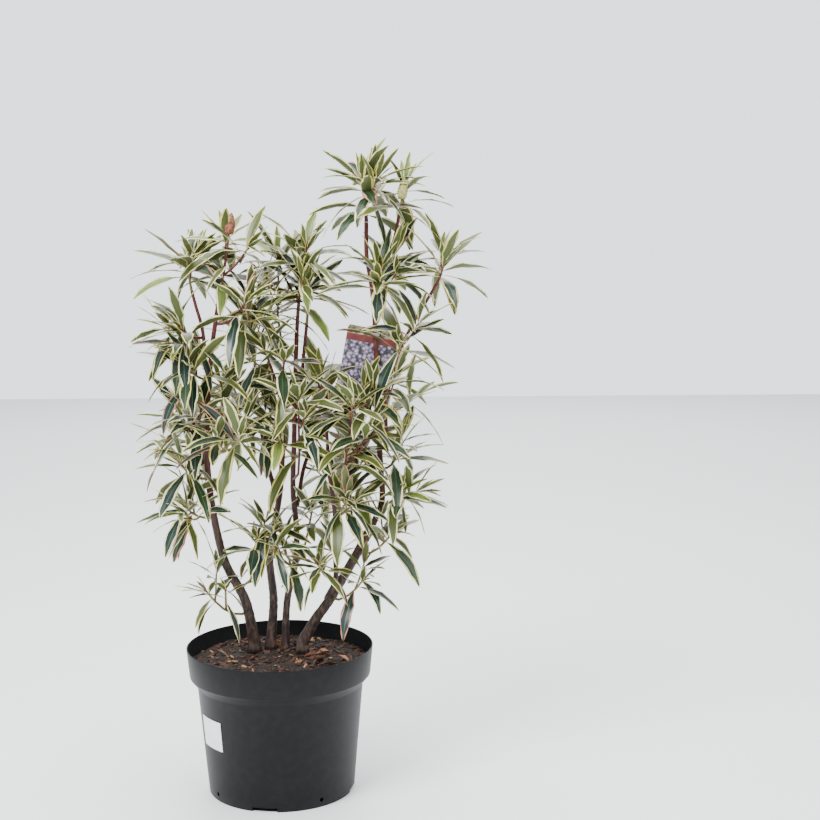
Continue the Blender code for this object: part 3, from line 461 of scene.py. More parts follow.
def aim(heading, rise):
    """Unit vector from a heading round +Z and a rise above the level, in degrees."""
    turn = math.radians(heading)
    lift = math.radians(rise)
    return Vector((math.cos(lift) * math.cos(turn), math.cos(lift) * math.sin(turn), math.sin(lift)))


def heading_and_rise(way):
    """Heading round +Z and rise above the level of a unit vector, in degrees."""
    return math.degrees(math.atan2(way.y, way.x)), math.degrees(math.asin(held(way.z, -1.0, 1.0)))


def smooth_line(points, steps):
    """Catmull-Rom line through the points, with so many steps between two of them."""
    ends = [points[0] * 2 - points[1], *points, points[-1] * 2 - points[-2]]
    line = []
    for before, start, end, after in zip(ends, ends[1:], ends[2:], ends[3:]):
        for step in range(steps):
            t = step / steps
            line.append(0.5 * (2 * start + (end - before) * t
                               + (2 * before - 5 * start + 4 * end - after) * t ** 2
                               + (3 * start - before - 3 * end + after) * t ** 3))
    line.append(points[-1])
    return line


def point_along(line, share):
    """The point at a share of a line's length, and the line's direction there."""
    lengths = [(b - a).length for a, b in zip(line, line[1:])]
    left = share * sum(lengths)
    for start, end, length in zip(line, line[1:], lengths):
        if left <= length:
            return start.lerp(end, left / length), (end - start).normalized()
        left -= length
    return line[-1].copy(), (line[-1] - line[-2]).normalized()


def across(axis, turn):
    """Unit vector square to an axis, turned round it by an angle from the level."""
    level = axis.cross(Vector((0, 0, 1)))
    if level.length < NEARLY_UPRIGHT:
        level = axis.cross(Vector((0, 1, 0)))
    return Quaternion(axis, turn) @ level.normalized()


def leaning(axis, turn, lean):
    """Unit vector that leans from an axis by some degrees, towards a turn round it."""
    angle = math.radians(lean)
    return axis * math.cos(angle) + across(axis, turn) * math.sin(angle)


def limb_radii(limb, line):
    """Taper that slows towards the tip, with a flare where a stem stands on the compost."""
    radii = []
    for index, place in enumerate(line):
        share = index / (len(line) - 1)
        radius = limb.tip_radius + (limb.foot_radius - limb.tip_radius) * (1 - share) ** LIMB_TAPER
        if limb.carrier == "compost":
            radius *= 1 + FOOT_FLARE * math.exp(-(place.z - line[0].z) / FLARE_HEIGHT)
        radii.append(radius)
    return radii


def twig_radii(twig):
    """Even taper along a twig."""
    steps = len(twig.line) - 1
    return [twig.foot_radius + (twig.tip_radius - twig.foot_radius) * step / steps
            for step in range(steps + 1)]


def leader_line(start, square, heading, rise, length):
    """Middle line of a shoot: it leaves the bark square, heads off and turns up at its end."""
    way = aim(heading, rise)
    end = start + way * length
    first = start + square * length * LEADER_SQUARE_SHARE
    last = end - (way + Vector((0, 0, LEADER_TURN_UP))).normalized() * length * LEADER_END_SHARE
    line = [start, start + square * LEADER_STUB]
    for step in range(1, LEADER_STEPS + 1):
        t = step / LEADER_STEPS
        near = start.lerp(first, t).lerp(first.lerp(last, t), t)
        far = first.lerp(last, t).lerp(last.lerp(end, t), t)
        line.append(near.lerp(far, t))
    return line


def fork_line(leader, share, turn, length):
    """Middle line of a side twig that starts inside its leader and curves upwards."""
    root, axis = point_along(leader, share)
    way = leaning(axis, turn, FORK_ANGLE)
    line = [root]
    for _ in range(FORK_STEPS):
        way = (way + Vector((0, 0, FORK_TURN_UP))).normalized()
        line.append(line[-1] + way * length / FORK_STEPS)
    return line


def whorl(line, behind, count, size, age, rng):
    """Leaves round a shoot, from a distance behind its tip: the youngest stand up in the middle,
    the oldest spread and hang."""
    length = sum((b - a).length for a, b in zip(line, line[1:]))
    leaves = []
    start = rng.uniform(0, 2 * math.pi)
    for index in range(count):
        elder = (index + age * count) / (count - 1 + age * count)
        back = behind + min(WHORL_DEPTH, length * WHORL_SHARE) * elder
        place, axis = point_along(line, max(WHORL_START, 1 - (back + TWIG_RADIUS) / length))
        spread = SPREAD_YOUNG + (SPREAD_OLD - SPREAD_YOUNG) * elder + rng.uniform(-SPREAD_PLAY, SPREAD_PLAY)
        turn = start + index * GOLDEN_TURN + rng.uniform(-TURN_PLAY, TURN_PLAY)
        way = leaning(axis, turn, spread)
        heading, rise = heading_and_rise(way)
        reach = size * (YOUNG_LEAF_SHARE + OLDER_LEAF_SHARE * elder) * rng.uniform(*LEAF_SIZE_PLAY)
        droop = DROOP_YOUNG + (DROOP_OLD - DROOP_YOUNG) * elder + rng.uniform(-DROOP_PLAY, DROOP_PLAY)
        leaves.append(Leaf(place - way * ROOT_SINK, heading, rise, reach,
                           min(droop, rise + DROOP_LIMIT),
                           rng.uniform(-SWEEP_PLAY, SWEEP_PLAY), rng.uniform(-ROLL_PLAY, ROLL_PLAY)))
    return leaves


def node_tree(name):
    """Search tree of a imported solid."""
    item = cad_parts[name]
    bm = bmesh.new()
    bm.from_mesh(item.data)
    bm.transform(item.matrix_world)
    tree = BVHTree.FromBMesh(bm)
    bm.free()
    return tree


def seat_on(carrier, share, towards):
    """A spot just clear of a limb's bark, and the square direction there: its tip or its side."""
    place, axis = point_along(carrier["line"], share)
    if share >= 1.0:
        return place + axis * GAP, axis
    out = (towards - axis * towards.dot(axis)).normalized()
    hit, normal, _, _ = carrier["tree"].ray_cast(place + out * SEAT_PROBE, -out)
    return hit + normal * GAP, normal


def limb_line(limb, limbs, steps):
    """Middle line of a limb from the place that carries it."""
    start, *points = limb.points
    points = list(map(Vector, points))
    if limb.carrier == "compost":
        foot = Vector((*start, COMPOST_LEVEL + GAP))
        line = smooth_line([foot, foot + Vector((0, 0, FOOT_RISE)), *points], steps)
        return [foot, foot + Vector((0, 0, FOOT_STRAIGHT)), *line[steps:]]
    carrier = limbs[limb.carrier]
    middle, _ = point_along(carrier["line"], start)
    seat, square = seat_on(carrier, start, points[0] - middle)
    return [seat, *smooth_line([seat + square * BOUGH_STRAIGHT, *points], steps)]


def spray_plan(spray, carrier):
    """The shoots of one spray, each with its leaves, its buds and its leaves' size, all from its
    own seed."""
    start, square = seat_on(carrier, spray.share, aim(spray.heading, spray.rise))
    foot_radius = carrier["radii"][-1] if spray.share >= 1.0 else TWIG_RADIUS
    rng = random.Random(spray.name)
    leader = leader_line(start, square, spray.heading, spray.rise, spray.length)
    tip, axis = point_along(leader, 1.0)
    ripe = held((tip.z - LOW_HEIGHT) / (FULL_HEIGHT - LOW_HEIGHT))
    size = LEAF_LENGTH * (LOW_LEAF_SHARE + (1 - LOW_LEAF_SHARE) * ripe)
    leaves = whorl(leader, 0.0, spray.leaves, size, 0.0, rng)
    buds = [Bud(tip, axis, *(spray.bud or TIP_BUD))]
    for _ in range(spray.tiers):
        leaves += whorl(leader, spray.length * TIER_SHARE, spray.leaves - TIER_FEWER_LEAVES,
                        size, TIER_AGE, rng)
    shoots = [(Twig(leader, foot_radius, TWIG_TIP_RADIUS), leaves)]
    turn = rng.uniform(0, 2 * math.pi)
    for index in range(spray.forks):
        length = held(spray.length * rng.uniform(*FORK_LENGTH_SHARE), *FORK_LENGTHS)
        line = fork_line(leader, FORK_FIRST_SHARE + FORK_SPACING_SHARE * index,
                         turn + index * GOLDEN_TURN, length)
        leaves = whorl(line, 0.0, spray.leaves - FORK_FEWER_LEAVES, size * FORK_LEAF_SHARE, 0.0, rng)
        shoots.append((Twig(line, TWIG_RADIUS * FORK_RADIUS_SHARE, TWIG_TIP_RADIUS), leaves))
        buds.append(Bud(*point_along(line, 1.0), *TIP_BUD))
    return shoots, buds, size


def finer_growth(spray, shoots, size):
    """One short extra shoot, and small upright leaves in each whorl that no listed bud fills.
    Leaves that would hide a fat bud are taken away."""
    rng = random.Random(spray.name + " finer")
    leader = shoots[0][0].line
    length = rng.uniform(*SHOOT_LENGTHS)
    line = fork_line(leader, rng.uniform(*SHOOT_SHARES), rng.uniform(0, 2 * math.pi), length)
    shoots.append((Twig(line, TWIG_TIP_RADIUS, TWIG_TIP_RADIUS * SHOOT_TIP_SHARE),
                   whorl(line, 0.0, SHOOT_LEAVES, size * SHOOT_LEAF_SHARE, 0.0, rng)))
    if spray.bud == FLOWER_BUD:
        _, axis = point_along(leader, 1.0)
        leaves = shoots[0][1]
        leaves[:] = [leaf for leaf in leaves
                     if aim(leaf.heading, leaf.rise).dot(axis) < BUD_OPEN_COSINE]
    for order, (twig, leaves) in enumerate(shoots):
        tip, axis = point_along(twig.line, CENTRE_SHARE)
        for index in range(0 if spray.bud and order == 0 else CENTRE_LEAVES):
            turn = index * GOLDEN_TURN + rng.uniform(0, 1)
            way = leaning(axis, turn, rng.uniform(*CENTRE_LEANS))
            leaves.append(Leaf(tip, *heading_and_rise(way), size * rng.uniform(*CENTRE_SIZES),
                               rng.uniform(*CENTRE_DROOPS), 0.0,
                               rng.uniform(-CENTRE_ROLL, CENTRE_ROLL)))


def leaf_course(leaf, shares):
    """Places along an arching leaf, each with its forward, side and upward direction."""
    def forward_at(share):
        return aim(leaf.heading + leaf.sweep * share, leaf.rise - leaf.droop * share)

    course = []
    place = leaf.root.copy()
    done = 0
    for share in shares:
        while done < round(share * COURSE_STEPS):
            place += forward_at(done / COURSE_STEPS) * leaf.length / COURSE_STEPS
            done += 1
        forward = forward_at(share)
        level = aim(leaf.heading + leaf.sweep * share + 90, 0)
        side = Quaternion(forward, math.radians(leaf.roll)) @ level
        course.append((place.copy(), forward, side, forward.cross(side)))
    return course


def leaf_patch(leaf, shares):
    """Search tree of a leaf's plain outline."""
    verts = []
    half = leaf.length * HALF_WIDTH_SHARE * ROOM_WIDTH_SHARE
    for place, _, side, _ in leaf_course(leaf, shares):
        verts += [place - side * half, place + side * half]
    faces = [(near, near + 1, near + 3, near + 2) for near in range(0, len(verts) - 2, 2)]
    return BVHTree.FromPolygons(verts, faces)


def leaf_with_room(leaf, taken, own, centre, reach):
    """The leaf, turned aside if a limb, the tag, the pot or another leaf of its spray is in its
    way, or None."""
    low, high = solid_box
    for dodge in DODGES:
        trial = leaf._replace(heading=leaf.heading + dodge, rise=leaf.rise + abs(dodge) * DODGE_LIFT)
        tip = leaf_course(trial, (0.0, 1.0))[-1][0]
        inside = all(low[side] + EDGE_ROOM < tip[side] < high[side] - EDGE_ROOM for side in range(3))
        if (tip - centre).length > reach or not inside:
            continue
        outer = leaf_patch(trial, OUTER_STATIONS)
        if any(outer.overlap(other) for other in own):
            continue
        if not any(leaf_patch(trial, ROOM_STATIONS).overlap(other) for other in taken):
            own.append(outer)
            return trial
    return None


def finished(bm, marks=()):
    """Smooth mesh of a bmesh, with a material for each mark."""
    mesh = bpy.data.meshes.new("mesh")
    bm.to_mesh(mesh)
    bm.free()
    for mark in marks:
        mesh.materials.append(SURFACES[mark])
    mesh.shade_smooth()
    return mesh


def new_item(name, data):
    """Object in the scene for a mesh, a lamp or a lens, both with the same name."""
    data.name = name
    item = bpy.data.objects.new(name, data)
    bpy.context.scene.collection.objects.link(item)
    return item


def settle(name, mesh, nodes=()):
    """Put a finished mesh on the plant's one body, in place of the solids it stands for."""
    item = new_item(name, mesh)
    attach(item, "root")
    if nodes:
        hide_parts(*nodes)
    return item


class Heap:
    """Many small closed pieces, joined as one mesh with a material mark for each face."""

    def __init__(self, marks):
        self.marks = list(marks)
        self.verts = []
        self.faces = []
        self.face_marks = []

    def add(self, verts, faces, face_marks):
        """Add a piece by its corners and faces."""
        base = len(self.verts)
        self.verts += verts
        self.faces += [tuple(base + corner for corner in face) for face in faces]
        self.face_marks += [self.marks.index(mark) for mark in face_marks]

    def take(self, bm, mark=None):
        """Add a modelled piece, in one material or in the one that each face names."""
        bm.verts.index_update()
        self.add([vert.co.copy() for vert in bm.verts],
                 [tuple(vert.index for vert in face.verts) for face in bm.faces],
                 [mark or self.marks[face.material_index] for face in bm.faces])
        bm.free()

    def piece(self, name, slot, nodes=()):
        """Make the joined mesh and settle it on the plant."""
        mesh = bpy.data.meshes.new("mesh")
        mesh.from_pydata(self.verts, [], self.faces)
        for mark in self.marks:
            mesh.materials.append(SURFACES[mark])
        mesh.polygons.foreach_set("material_index", self.face_marks)
        mesh.shade_smooth()
        return settle(name, mesh, nodes)


def leaf_half_width(share):
    """Half-width along a leaf: a thin stalk, widest past the middle, a short point."""
    if share < STALK_SHARE:
        return STALK_HALF_WIDTH
    along = (share - STALK_SHARE) / (1 - STALK_SHARE)
    return max(POINT_HALF_WIDTH, math.sin(math.pi * along ** WIDEST_POWER) ** FULLNESS_POWER)


def leaf_top(leaf, rng):
    """Rows of corners across a leaf's upper face: folded, twisted, wavy and ragged at its edge."""
    fold = LEAF_FOLD * rng.uniform(*FOLD_PLAY)
    wave = rng.uniform(0, LOOSE_TURN)
    twist = math.radians(rng.gauss(0, TWIST_PLAY))
    rows = []
    for share, (place, forward, side, up) in zip(LEAF_STATIONS, leaf_course(leaf, LEAF_STATIONS)):
        turn = Quaternion(forward, twist * share)
        side = turn @ side
        up = turn @ up
        half = leaf_half_width(share)
        wide = leaf.length * HALF_WIDTH_SHARE * half
        ragged = (rng.uniform(*RAGGED_EDGE), rng.uniform(*RAGGED_EDGE))
        margin = min(MARGIN_MOST, MARGIN_EVEN / max(MARGIN_NARROW, half))
        inner = [1 - rng.uniform(*MARGIN_SHARE) * margin for _ in range(2)]
        row = []
        for column in (-1.0, -inner[0], -MIDDLE_COLUMN, -RIB_COLUMN,
                       RIB_COLUMN, MIDDLE_COLUMN, inner[1], 1.0):
            lag = 0 if column < 0 else RIPPLE_LAG
            ripple = RIPPLE * math.sin(wave + RIPPLE_TURNS * share + lag) * column ** 2
            lift = fold * abs(column) - EDGE_CURL * column ** 2 + ripple
            reach = 1 if abs(column) == RIB_COLUMN else ragged[column > 0]
            row.append(place + side * column * wide * reach + up * lift * wide)
        rows.append(row)
    return rows


def add_leaf(heap, leaf, blade, edge, rng):
    """Blade with a sunk midrib, a margin of uneven width and a matt underside."""
    rows = leaf_top(leaf, rng)
    verts = [vert for row in rows for vert in row]
    last = LEAF_COLUMNS - 1
    under = {}
    for row in range(1, len(rows) - 1):
        up = (rows[row][last] - rows[row][0]).cross(rows[row + 1][3] - rows[row][3]).normalized()
        for column in range(1, last):
            under[row, column] = len(verts)
            verts.append(rows[row][column] + up * LEAF_THICKNESS)
    faces = []
    marks = []
    for row in range(len(rows) - 1):
        for column in range(last):
            corners = ((row, column), (row + 1, column), (row + 1, column + 1), (row, column + 1))
            upper = tuple(a * LEAF_COLUMNS + b for a, b in corners)
            lower = tuple(under.get(corner, index) for corner, index in zip(corners, upper))
            faces += [upper, lower[::-1]]
            if row == 0:
                marks += ["stalk", "stalk"]
            elif column in (0, last - 1):
                marks += [edge, edge]
            else:
                marks += ["rib" if column == last // 2 else blade, "underside"]
    heap.add(verts, faces, marks)


def tube_rings(line, radii, sides, shape=None):
    """Rings of a round tube along a line. A shape gives each place its share of the radius."""
    rings = []
    level = None
    for index, (place, radius) in enumerate(zip(line, radii)):
        ahead = (line[min(index + 1, len(line) - 1)] - line[max(index - 1, 0)]).normalized()
        if level is None:
            level = across(ahead, 0.0)
        else:
            level = (level - ahead * level.dot(ahead)).normalized()
        other = ahead.cross(level)
        ring = []
        for side in range(sides):
            turn = 2 * math.pi * side / sides
            out = level * math.cos(turn) + other * math.sin(turn)
            ring.append(place + out * radius * (shape(index, turn) if shape else 1.0))
        rings.append(ring)
    return rings


def closed_tube(rings):
    """Tube rolled up from a grid, a row to each ring, and capped at both ends."""
    sides = len(rings[0])
    bm = bmesh.new()
    bmesh.ops.create_grid(bm, x_segments=sides, y_segments=len(rings) - 1, size=1)
    bm.verts.ensure_lookup_table()
    for index, vert in enumerate(bm.verts):
        row, column = divmod(index, sides + 1)
        vert.co = rings[row][column % sides]
    seam = {bm.verts[row * (sides + 1) + sides]: bm.verts[row * (sides + 1)]
            for row in range(len(rings))}
    bmesh.ops.weld_verts(bm, targetmap=seam)
    bmesh.ops.holes_fill(bm, edges=[edge for edge in bm.edges if edge.is_boundary], sides=sides)
    bmesh.ops.recalc_face_normals(bm, faces=bm.faces)
    return bm


def add_bud(heap, bud, mark):
    """Pointed bud with its scales in turning rows."""
    shares = [step / BUD_STEPS for step in range(BUD_STEPS + 1)]
    line = [bud.foot + bud.axis * bud.length * (share - BUD_SUNK_SHARE) for share in shares]
    radii = []
    for share in shares:
        swell = math.sin(math.pi * (BUD_FOOT_SHARE + (1 - BUD_FOOT_SHARE) * share) ** BUD_LOW_POWER)
        radii.append(bud.radius * max(BUD_POINT_SHARE, swell ** BUD_FULL_POWER))

    def scales(index, turn):
        winding = shares[index] * BUD_SCALE_ROWS + turn / (2 * math.pi) * BUD_SCALES_ROUND
        return 1 - BUD_SCALE_DEPTH / 2 + BUD_SCALE_DEPTH * (winding % 1.0)

    heap.take(closed_tube(tube_rings(line, radii, BUD_SIDES, scales)), mark)


def bark_skin(limb, limbs):
    """Limb with ringed leaf scars on young wood and furrows on the old wood at its foot."""
    line = limb_line(limb, limbs, BARK_STEPS)
    seed = random.Random(limb.name).uniform(0, 50)

    def relief(index, turn):
        height = line[index].z
        old = held((OLD_BARK_TOP - height) / OLD_BARK_FADE)
        coarse, fine = FURROWS_PER_METRE
        spot = Vector((math.cos(turn) * FURROWS_ROUND, math.sin(turn) * FURROWS_ROUND,
                       height * (coarse + (fine - coarse) * (1 - old)) + seed))
        shallow, deep = FURROW_DEPTHS
        furrow = noise.noise(spot * FURROW_GRAIN) * (shallow + (deep - shallow) * old)
        ring = max(0.0, math.cos(height * SCARS_TURN_PER_METRE + 2 * turn + seed))
        return BARK_SHRINK + furrow + SCAR_DEPTH * ring ** SCAR_SHARPNESS * (1 - old / 2)

    skin = closed_tube(tube_rings(line, limb_radii(limb, line), BARK_SIDES, relief))
    settle("bark_" + limb.name, finished(skin, ["bark"]), [limb.name])


def linear(code):
    """Linear red, green, blue and alpha from an sRGB hex value."""
    shades = [int(code[place:place + 2], 16) / 255 for place in (1, 3, 5)]
    return (*[s / 12.92 if s <= 0.04045 else ((s + 0.055) / 1.055) ** 2.4 for s in shades], 1.0)


def add_node(tree, kind, settings=(), links=()):
    """One shader node with its settings, and links from (node, output) to its inputs."""
    node = tree.nodes.new(kind)
    for key, value in dict(settings).items():
        if key in node.inputs:
            node.inputs[key].default_value = value
        else:
            setattr(node, key, value)
    for key, (source, output) in dict(links).items():
        tree.links.new(source.outputs[output], node.inputs[key])
    return node


def pattern(tree, kind, size, stretch=(1.0, 1.0, 1.0), **settings):
    """Texture in the plant's own space, its cells so many millimetres across."""
    coords = add_node(tree, "ShaderNodeTexCoord")
    drawn = add_node(tree, "ShaderNodeMapping", {"Scale": stretch}, {"Vector": (coords, "Object")})
    return add_node(tree, kind, {"Scale": 1000 / size, **settings}, {"Vector": (drawn, "Vector")})


def add_ramp(tree, source, *stops):
    """Colours over a node's output, each stop with its place and its colour."""
    ramp = add_node(tree, "ShaderNodeValToRGB", {}, {"Fac": source})
    spots = ramp.color_ramp.elements
    spots.remove(spots[1])
    spots[0].position = stops[0][0]
    spots[0].color = linear(stops[0][1])
    for place, code in stops[1:]:
        spots.new(place).color = linear(code)
    return ramp


def surface(name, code, roughness):
    """Principled material of one colour."""
    material = bpy.data.materials.new(name)
    material.use_nodes = True
    inputs = material.node_tree.nodes["Principled BSDF"].inputs
    inputs["Base Color"].default_value = linear(code)
    inputs["Roughness"].default_value = roughness
    return material


def mottle(material, codes, grain, relief, detail=4.0, stretch=(1.0, 1.0, 1.0)):
    """Let a material's colour wander over the codes. Its grain and its relief are in millimetres."""
    tree = material.node_tree
    cloud = pattern(tree, "ShaderNodeTexNoise", grain, stretch, Detail=detail)
    low, high = MOTTLE_RANGE
    ramp = add_ramp(tree, (cloud, "Fac"), *[(low + (high - low) * order / (len(codes) - 1), code)
                                            for order, code in enumerate(codes)])
    dent = add_node(tree, "ShaderNodeBump", {"Strength": 0.5, "Distance": relief / 1000},
                    {"Height": (cloud, "Fac")})
    inputs = tree.nodes["Principled BSDF"].inputs
    tree.links.new(ramp.outputs["Color"], inputs["Base Color"])
    tree.links.new(dent.outputs["Normal"], inputs["Normal"])
    return material


def living_bark():
    """Bark on the plant: grey-brown and furrowed low down, wine-red and smooth on young wood."""
    bark = surface("living_bark", "#3a2a24", 0.62)
    mottle(bark, ("#1d1613", "#3a2a24", "#5c483e"), 3.846, 0.6, 6.0, (1.0, 1.0, 0.35))
    tree = bark.node_tree
    base = tree.nodes["Principled BSDF"].inputs["Base Color"]
    old = base.links[0].from_socket
    coords = add_node(tree, "ShaderNodeTexCoord")
    height = add_node(tree, "ShaderNodeSeparateXYZ", {}, {"Vector": (coords, "Object")})
    youth = add_node(tree, "ShaderNodeMapRange",
                     {"From Min": YOUNG_BARK_HEIGHTS[0], "From Max": YOUNG_BARK_HEIGHTS[1]},
                     {"Value": (height, "Z")})
    cloud = pattern(tree, "ShaderNodeTexNoise", 5.556)
    wine = add_ramp(tree, (cloud, "Fac"), (0.3, "#3f1414"), (0.7, "#6f2f28"))
    mix = add_node(tree, "ShaderNodeMix", {"data_type": "RGBA"})
    tree.links.new(youth.outputs["Result"], mix.inputs[MIX_FACTOR])
    tree.links.new(old, mix.inputs[MIX_FIRST])
    tree.links.new(wine.outputs["Color"], mix.inputs[MIX_SECOND])
    tree.links.new(mix.outputs[MIX_RESULT], base)
    return bark


def printed_card():
    """Glossy card printed with blossoms in lilac and white on dark green."""
    card = surface("printed_card", "#a79bb0", 0.32)
    tree = card.node_tree
    petals = pattern(tree, "ShaderNodeTexVoronoi", 4.762)
    blossoms = add_ramp(tree, (petals, "Distance"), (0.0, "#f1ecf4"), (0.38, "#a893ba"),
                        (0.60, "#5d5a6c"), (0.82, "#28322a"))
    tree.links.new(blossoms.outputs["Color"], tree.nodes["Principled BSDF"].inputs["Base Color"])
    return card


def make_surfaces():
    """All the plant's materials by their marks."""
    made = {"bark": living_bark(), "print": printed_card()}
    for mark, name, roughness, codes, *grain in MATERIALS:
        made[mark] = surface(name, codes[0], roughness)
        if grain:
            mottle(made[mark], codes, *grain)
    shine = made["pot"].node_tree.nodes["Principled BSDF"].inputs["Specular IOR Level"]
    shine.default_value = POT_SPECULAR
    return made


def outer_radius(height):
    """Radius of the pot's body below its step."""
    return POT_BASE_RADIUS + (BODY_TOP_RADIUS - POT_BASE_RADIUS) * height / BODY_TOP


def spun(profile, sides):
    """Turned solid from a profile that starts and ends on the axis."""
    bm = bmesh.new()
    verts = [bm.verts.new((radius, 0, height)) for radius, height in profile]
    edges = [bm.edges.new(pair) for pair in zip(verts, verts[1:])]
    bmesh.ops.spin(bm, geom=verts + edges, axis=(0, 0, 1), cent=(0, 0, 0), dvec=(0, 0, 0),
                   angle=2 * math.pi, steps=sides, use_merge=True)
    bmesh.ops.remove_doubles(bm, verts=bm.verts, dist=0.00001)
    bmesh.ops.recalc_face_normals(bm, faces=bm.faces)
    return bm


def pot_profile():
    """Half section of the pot: along its floor, up the inside, round the lip and down to the foot."""
    lip = POT_WALL / 2
    profile = [(0.0, POT_FLOOR), (outer_radius(POT_FLOOR) - POT_WALL - POT_EDGE, POT_FLOOR),
               (outer_radius(POT_FLOOR) - POT_WALL, POT_FLOOR + POT_EDGE),
               (outer_radius(CUT_TOP) - POT_WALL, CUT_TOP),
               (BODY_TOP_RADIUS - POT_WALL, BODY_TOP + lip),
               (COLLAR_FOOT_RADIUS - POT_WALL, COLLAR_FOOT + lip)]
    for step in range(LIP_STEPS + 1):
        turn = math.pi * (1 - step / LIP_STEPS)
        profile.append((POT_RIM_RADIUS - lip + lip * math.cos(turn),
                        POT_HEIGHT - lip + lip * math.sin(turn)))
    profile += [(COLLAR_FOOT_RADIUS, COLLAR_FOOT + POT_EDGE),
                (COLLAR_FOOT_RADIUS - COLLAR_ROUNDING, COLLAR_FOOT),
                (COLLAR_FOOT_RADIUS - POT_EDGE, COLLAR_FOOT - POT_EDGE * COLLAR_DROP_SHARE),
                (BODY_TOP_RADIUS + SHOULDER_BULGE, BODY_TOP + SHOULDER_ROUNDING),
                (BODY_TOP_RADIUS, BODY_TOP - SHOULDER_ROUNDING),
                (outer_radius(CUT_TOP), CUT_TOP), (POT_BASE_RADIUS + FOOT_BULGE, POT_EDGE),
                (POT_BASE_RADIUS - FOOT_ROUNDING, FOOT_ROUNDING),
                (POT_BASE_RADIUS - POT_EDGE, 0.0), (0.0, 0.0)]
    return profile


def notch_block():
    """Block that cuts a notch between two feet."""
    bm = bmesh.new()
    size = (NOTCH_DEPTH, NOTCH_WIDTH, NOTCH_HEIGHT * 2, 1.0)
    bmesh.ops.create_cube(bm, size=1, matrix=Matrix.Diagonal(size))
    return bm


def drain_rod():
    """Rod that cuts a drain hole."""
    bm = bmesh.new()
    bmesh.ops.create_cone(bm, cap_ends=True, segments=DRAIN_SIDES, radius1=DRAIN_RADIUS,
                          radius2=DRAIN_RADIUS, depth=NOTCH_DEPTH,
                          matrix=Matrix.Rotation(math.pi / 2, 4, "Y"))
    return bm


def cutter(bm, order, height):
    """Cutting tool turned to its place in the row round the pot's foot."""
    heading = NOTCH_HEADING + 360 * order / NOTCH_COUNT
    out = POT_BASE_RADIUS - NOTCH_DEPTH * CUT_INSET_SHARE
    tool = new_item("cutter", finished(bm))
    tool.matrix_world = (Matrix.Rotation(math.radians(heading), 4, "Z")
                         @ Matrix.Translation((out, 0, height)))
    return tool


def make_pot():
    """Thin-walled pot with a stepped collar, a rounded lip and feet cut at its lower edge."""
    body = new_item("pot_blank", finished(spun(pot_profile(), POT_SIDES)))
    cutters = []
    for order in range(NOTCH_COUNT):
        cutters.append(cutter(notch_block(), order, 0.0))
        cutters.append(cutter(drain_rod(), order + 0.5, DRAIN_HEIGHT))
    for tool in cutters:
        cut = body.modifiers.new("cut", "BOOLEAN")
        cut.object = tool
        cut.solver = "EXACT"
    bpy.context.view_layer.update()
    mesh = bpy.data.meshes.new_from_object(body.evaluated_get(bpy.context.evaluated_depsgraph_get()))
    for item in (*cutters, body):
        bpy.data.objects.remove(item)
    mesh.materials.clear()
    mesh.materials.append(SURFACES["pot"])
    mesh.shade_smooth()
    mesh.set_sharp_from_angle(angle=math.radians(POT_SHARP_ANGLE))
    settle("moulded_pot", mesh, ["pot"])


def compost_height(x, y):
    """Level of the loose surface: crumbs, small clods and a slight fall to the wall."""
    fall = held((math.hypot(x, y) - COMPOST_FLAT_RADIUS) / (POT_RIM_RADIUS - COMPOST_FLAT_RADIUS))
    level = COMPOST_LEVEL + (COMPOST_EDGE_LEVEL - COMPOST_LEVEL) * fall
    clods = noise.fractal(Vector((x * CLODS_PER_METRE, y * CLODS_PER_METRE, 0.3)), 0.8, 2.1, 3)
    crumbs = noise.fractal(Vector((x * CRUMBS_PER_METRE, y * CRUMBS_PER_METRE, 4.1)), 0.7, 2.0, 3)
    return level + CLOD_HEIGHT * clods + CRUMB_HEIGHT * crumbs - COMPOST_SETTLED


def make_compost():
    """Lumpy disc of compost that fills the pot's mouth, closed below."""
    edge = COLLAR_FOOT_RADIUS - POT_WALL - GAP * 2 + COMPOST_OVERLAP
    profile = [(edge * ring / COMPOST_RINGS, COMPOST_LEVEL) for ring in range(COMPOST_RINGS + 1)]
    profile += [(edge * COMPOST_FOOT_SHARE, COMPOST_FOOT), (0.0, COMPOST_FOOT)]
    bm = spun(profile, COMPOST_SIDES)
    for vert in bm.verts:
        if vert.co.z > COMPOST_FOOT + GAP:
            vert.co.z = compost_height(vert.co.x, vert.co.y)
    settle("loose_compost", finished(bm, ["peat"]), ["compost"])


def chip_corners(rng):
    """Corners of a split piece of bark, ragged and lying as it fell on the compost."""
    radius = CHIP_REACH * math.sqrt(rng.uniform(0.0, 1.0))
    place = aim(math.degrees(rng.uniform(0, 2 * math.pi)), 0) * radius
    place.z = compost_height(place.x, place.y) + CHIP_LIFT
    length = rng.uniform(*CHIP_LENGTHS)
    size = Vector((length, length * rng.uniform(*CHIP_WIDTH_SHARES), rng.uniform(*CHIP_THICKNESSES)))
    way = Matrix.Rotation(rng.uniform(0, LOOSE_TURN), 3, "Z")
    for side, tilt in zip("XY", CHIP_TILTS):
        way = way @ Matrix.Rotation(rng.gauss(0, tilt), 3, side)
    corners = []
    for corner in itertools.product((-0.5, 0.5), repeat=3):
        ragged = 1 + rng.uniform(*CHIP_RAGGED)
        corners.append(place + way @ (Vector(corner) * size * Vector((ragged, ragged, 1.0))))
    return corners


